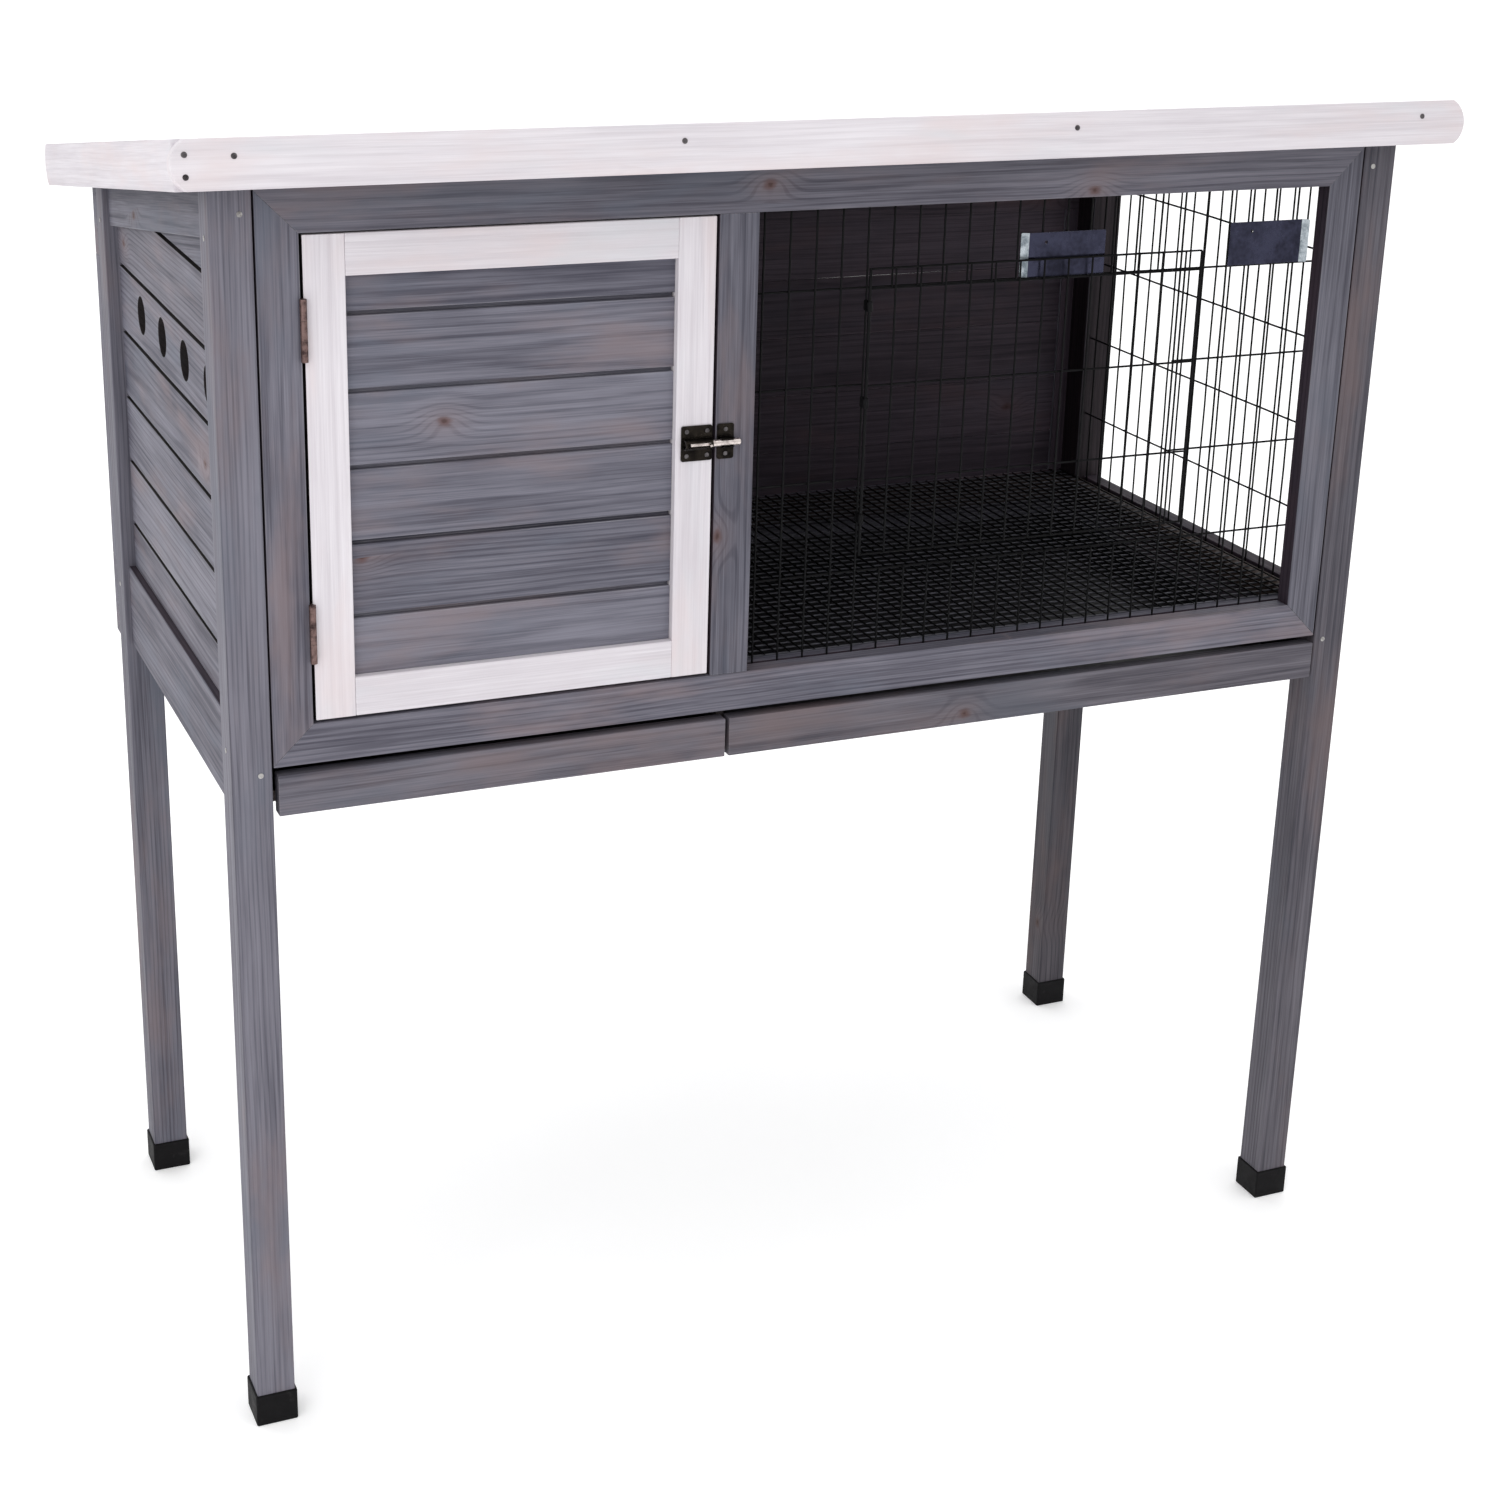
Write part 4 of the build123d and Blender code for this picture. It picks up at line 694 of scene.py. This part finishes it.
def welded_mesh(node, sides, wobble, materials=("black_wire",), beads=True):
    """A panel of welded wires standing for its CAD node. A second, lighter material for its wires across is a
    painted highlight.
    """
    bm = bmesh.new()
    runs = wire_runs(node)
    for seed, (start, end, radius, axis) in enumerate(runs):
        for face in tube(bm, start, end, radius, seed, sides, wobble):
            # with a second material, the wires along x get the lighter one, a painted highlight
            face.material_index = int(axis == 0 and len(materials) > 1)
    if beads:
        main = runs[0][3]
        for start, end, radius, axis in (r for r in runs if r[3] == main):
            for start2, end2, radius2, axis2 in (r for r in runs if r[3] != main):
                third = 3 - axis - axis2
                if abs(start[third] - start2[third]) > radius + radius2 + 0.2 * MM:
                    continue
                inside = (start[axis] - MM <= start2[axis] <= end[axis] + MM
                          and start2[axis2] - MM <= start[axis2] <= end2[axis2] + MM)
                if inside:
                    spot = Vector((0, 0, 0))
                    spot[axis] = start2[axis]
                    spot[axis2] = start[axis2]
                    spot[third] = (start[third] + start2[third]) / 2
                    normal = Vector((0, 0, 0))
                    normal[third] = 1
                    weld_bead(bm, spot, normal, 1.15 * min(radius, radius2))
    piece(f"{node}_wires", bm, BODY_OF[node], materials, (node,), flat=True)


welded_mesh("front_wire_panel", 10, 0.35 * MM)
welded_mesh("right_wire_panel", 10, 0.6 * MM)
welded_mesh("wire_door", 12, 0.3 * MM)
welded_mesh("wire_floor", 8, 0.2 * MM, ("black_wire", "floor_wire_painted_highlight"), beads=False)


# ---------------------------------------------------------------- hardware
def bevelled(node, width):
    """A CAD node's own solids with rounded edges that are marked as worn."""
    whole = bmesh.new()
    for part in islands(node):
        join(whole, rounded(part, 35, width))
    return whole


METALWORK = {
    "door_hinge_frame_leaves": "hinge_bronze",
    "door_hinge_leaves": "hinge_bronze",
    "roof_hinge_body_leaves": "zinc_steel",
    "roof_hinge_roof_leaves": "zinc_steel",
    "bolt_plate": "antique_brass",
    "bolt_keeper": "antique_brass",
    "bolt_plate_screws": "dark_zinc",
    "bolt_keeper_screws": "dark_zinc",
    "latch_bolt": "bolt_steel",
    "wire_door_clips": "black_wire",
}
for node, finish in METALWORK.items():
    piece(f"{node}_metal", bevelled(node, 0.2 * MM), BODY_OF[node], (finish,), (node,))



def mesh_plates():
    """The two plates on the wire panel, each with its bent end in bright steel, a painted highlight."""
    whole = bmesh.new()
    for part in islands("mesh_plates"):
        part = rounded(part, 35, 0.3 * MM)
        part.normal_update()
        for face in part.faces:
            # faces turned to the front and a little left, the bent ends, take the painted highlight
            face.material_index = int(0.2 < -face.normal.x < 0.6 and face.normal.y < -0.8)
        join(whole, part)
    finishes = ("plate_steel", "plate_painted_highlight")
    piece("mesh_plates_metal", whole, "hutch", finishes, ("mesh_plates",))


mesh_plates()
caps = bevelled("foot_caps", 0.5 * MM)
piece("foot_caps_rubber", caps, "hutch", ("black_rubber",), ("foot_caps",))

for node in ("left_tray_pan", "right_tray_pan"):
    pan = bevelled(node, 0.4 * MM)
    piece(f"{node}_moulding", pan, BODY_OF[node], (SLOT_OF[node],), (node,))


FELT_COURSES = 3
FELT_ROWS, FELT_COLUMNS = 16, 60  # faces in one course
FELT_LAP = 45 * MM
FELT_STEP = 1.1  # in mm, how deep a course starts under the one above it
FELT_EDGE = 0.7 * MM
NAIL_PITCH = 95 * MM
NAIL_RADIUS = 3.6 * MM
NAIL_SET_BACK = 14 * MM


def felt_courses():
    """The felt as lapped courses that lie a little unevenly, with clout nails along each lap."""
    slab = islands("roof_felt")[0]
    low, high = span(slab)
    normal = max((f for f in slab.faces if f.normal.z > 0.5), key=lambda f: f.calc_area()).normal.copy()
    slab.free()
    down = Vector((1, 0, 0)).cross(normal)
    down = -down if down.z > 0 else down
    corner = Vector((low.x, low.y, high.z))
    length = (high.y - low.y) / down.y
    width = high.x - low.x
    pitch = length / FELT_COURSES
    felt, nails = bmesh.new(), bmesh.new()
    for course in range(FELT_COURSES):
        start = course * pitch
        reach = pitch + (FELT_LAP if course < FELT_COURSES - 1 else 0.0)
        rows = []
        for i in range(FELT_ROWS + 1):
            along = i / FELT_ROWS
            row = []
            for j in range(FELT_COLUMNS + 1):
                x = width * j / FELT_COLUMNS
                spot = Vector((x * 3.1, (start + reach * along) * 4.0, course * 7.7))
                lift = 1.0 * along - FELT_STEP + 0.35 * noise.noise(spot)
                lift = (lift + 0.3 * along ** 6 * noise.noise(spot * 6)) * MM
                row.append(felt.verts.new(
                    corner + Vector((x, 0, 0)) + down * (start + reach * along) + normal * min(lift, 0.0)
                ))
            rows.append(row)
        under = [felt.verts.new(v.co - normal * FELT_EDGE) for v in rows[-1]]
        for upper, lower in zip(rows, rows[1:] + [under]):
            for j in range(FELT_COLUMNS):
                felt.faces.new((upper[j], lower[j], lower[j + 1], upper[j + 1]))
        if course < FELT_COURSES - 1:
            for number in range(int(width / NAIL_PITCH)):
                x = NAIL_PITCH * (number + 0.6)
                place = corner + Vector((x, 0, 0)) + down * (start + reach - NAIL_SET_BACK)
                weld_bead(nails, place + normal * 0.1 * MM, normal, NAIL_RADIUS, 0.12)
    piece("roof_felt_courses", felt, "roof", ("roofing_felt",), ("roof_felt",))
    piece("roof_felt_nails", nails, "roof", ("zinc_steel",), flat=True)


felt_courses()


def screw_head(bm, centre, normal, radius, height):
    """A low domed head with a cross recess."""
    side = normal.orthogonal().normalized()
    other = normal.cross(side)
    levels = (0.0, 0.16, 0.3, 0.42, 0.55, 0.68, 0.82, 0.94, 1.0, 1.0)
    spokes = 32
    rings = []
    for number, share in enumerate(levels):
        ring = []
        for index in range(spokes):
            angle = 2 * math.pi * index / spokes
            x, y = share * math.cos(angle), share * math.sin(angle)
            rise = height * (1 - 0.45 * share * share)
            if max(abs(x), abs(y)) < 0.58 and min(abs(x), abs(y)) < 0.15:
                rise -= 0.55 * height
            if number == len(levels) - 1:
                rise = 0.0
            ring.append(bm.verts.new(centre + normal * rise + (side * x + other * y) * radius))
        rings.append(ring)
    for first, second in zip(rings[:-1], rings[1:]):
        for index in range(spokes):
            after = (index + 1) % spokes
            bm.faces.new((first[index], first[after], second[after], second[index]))
    bm.faces.new(rings[-1][::-1])


def screws(node, finish):
    """Cross-headed screws where the CAD node has its plain heads."""
    bm = bmesh.new()
    for part in islands(node):
        cap = max(part.faces, key=lambda f: f.calc_area())
        normal = cap.normal.copy()
        low, high = span(part)
        middle = (low + high) / 2
        if middle.dot(normal) < 0:
            normal.negate()
        depths = [(v.co - middle).dot(normal) for v in part.verts]
        radius = max(((v.co - middle) - normal * (v.co - middle).dot(normal)).length for v in part.verts)
        screw_head(bm, middle + normal * min(depths), normal, radius, max(depths) - min(depths))
        part.free()
    bmesh.ops.remove_doubles(bm, verts=bm.verts, dist=1e-7)
    piece(f"{node}_heads", bm, BODY_OF[node], (finish,), (node,), flat=True)


screws("leg_screws", "zinc_steel")
screws("fascia_screws", "dark_zinc")


# ---------------------------------------------------------------- floor, light and camera
def studio_floor():
    """A pale floor that curves up into a backdrop."""
    bm = bmesh.new()
    width, front, back, rise, radius = 14.0, -9.0, 5.0, 9.0, 2.5
    profile = [(front, 0.0), (back - radius, 0.0)]
    for step in range(1, 13):
        angle = math.pi / 2 * step / 12
        profile.append((back - radius + radius * math.sin(angle), radius - radius * math.cos(angle)))
    profile.append((back, rise))
    rows = [[bm.verts.new((x, y, z)) for x in (-width, width)] for y, z in profile]
    for first, second in zip(rows[:-1], rows[1:]):
        bm.faces.new((first[0], first[1], second[1], second[0]))
    mesh = bpy.data.meshes.new("studio_floor")
    bm.to_mesh(mesh)
    bm.free()
    mesh.shade_smooth()
    floor = bpy.data.objects.new("studio_floor", mesh)
    bpy.context.scene.collection.objects.link(floor)
    g = Graph("studio_paper")
    cloud = g.noise(g.place(), 1.4, 3.0)
    mesh.materials.append(g.finish(
        Base_Color=g.mix(cloud, srgb(251, 251, 252), srgb(254, 254, 254)),
        Roughness=0.9,
        Emission_Color=(1.0, 1.0, 1.0, 1.0),
        Emission_Strength=0.2,
    ))


studio_floor()

world = bpy.data.worlds.new("studio")
bpy.context.scene.world = world
world.use_nodes = True
sky = world.node_tree.nodes["Background"]
sky.inputs["Color"].default_value = (1.0, 1.0, 1.0, 1.0)
sky.inputs["Strength"].default_value = 0.79


def soft_light(name, place, aim, size, power):
    lamp = bpy.data.lights.new(name, "AREA")
    lamp.shape = "RECTANGLE"
    lamp.size, lamp.size_y = size
    lamp.energy = power
    holder = bpy.data.objects.new(name, lamp)
    bpy.context.scene.collection.objects.link(holder)
    holder.location = place
    holder.rotation_euler = (Vector(aim) - Vector(place)).to_track_quat("-Z", "Y").to_euler()


soft_light("key", (-2.3, -2.3, 2.1), (-0.4, 0.0, 0.8), (1.8, 1.8), 20)
soft_light("fill", (2.6, -3.6, 2.2), (0.1, 0.0, 0.8), (2.2, 2.2), 6)
soft_light("overhead", (0.0, 0.0, 4.5), (0.0, 0.0, 0.0), (7.0, 7.0), 90)

CAMERA_PLACE = (-0.985, -2.283, 1.486)
CAMERA_YAW = 0.4255
CAMERA_PITCH = -0.3347
CAMERA_ROLL = 0.0312

camera_data = bpy.data.cameras.new("camera")
camera_data.sensor_width = 36.0
camera_data.lens = 61.17
camera_data.shift_x = -0.011
camera_data.shift_y = -0.074
camera = bpy.data.objects.new("camera", camera_data)
bpy.context.scene.collection.objects.link(camera)
ahead = Vector((
    math.sin(CAMERA_YAW) * math.cos(CAMERA_PITCH),
    math.cos(CAMERA_YAW) * math.cos(CAMERA_PITCH),
    math.sin(CAMERA_PITCH),
))
level = Vector((math.cos(CAMERA_YAW), -math.sin(CAMERA_YAW), 0.0))
upward = level.cross(ahead)
right = level * math.cos(CAMERA_ROLL) + upward * math.sin(CAMERA_ROLL)
upward = right.cross(ahead)
camera.matrix_world = Matrix.Translation(CAMERA_PLACE) @ Matrix((right, upward, -ahead)).transposed().to_4x4()
bpy.context.scene.camera = camera

bpy.context.scene.view_settings.view_transform = "Standard"
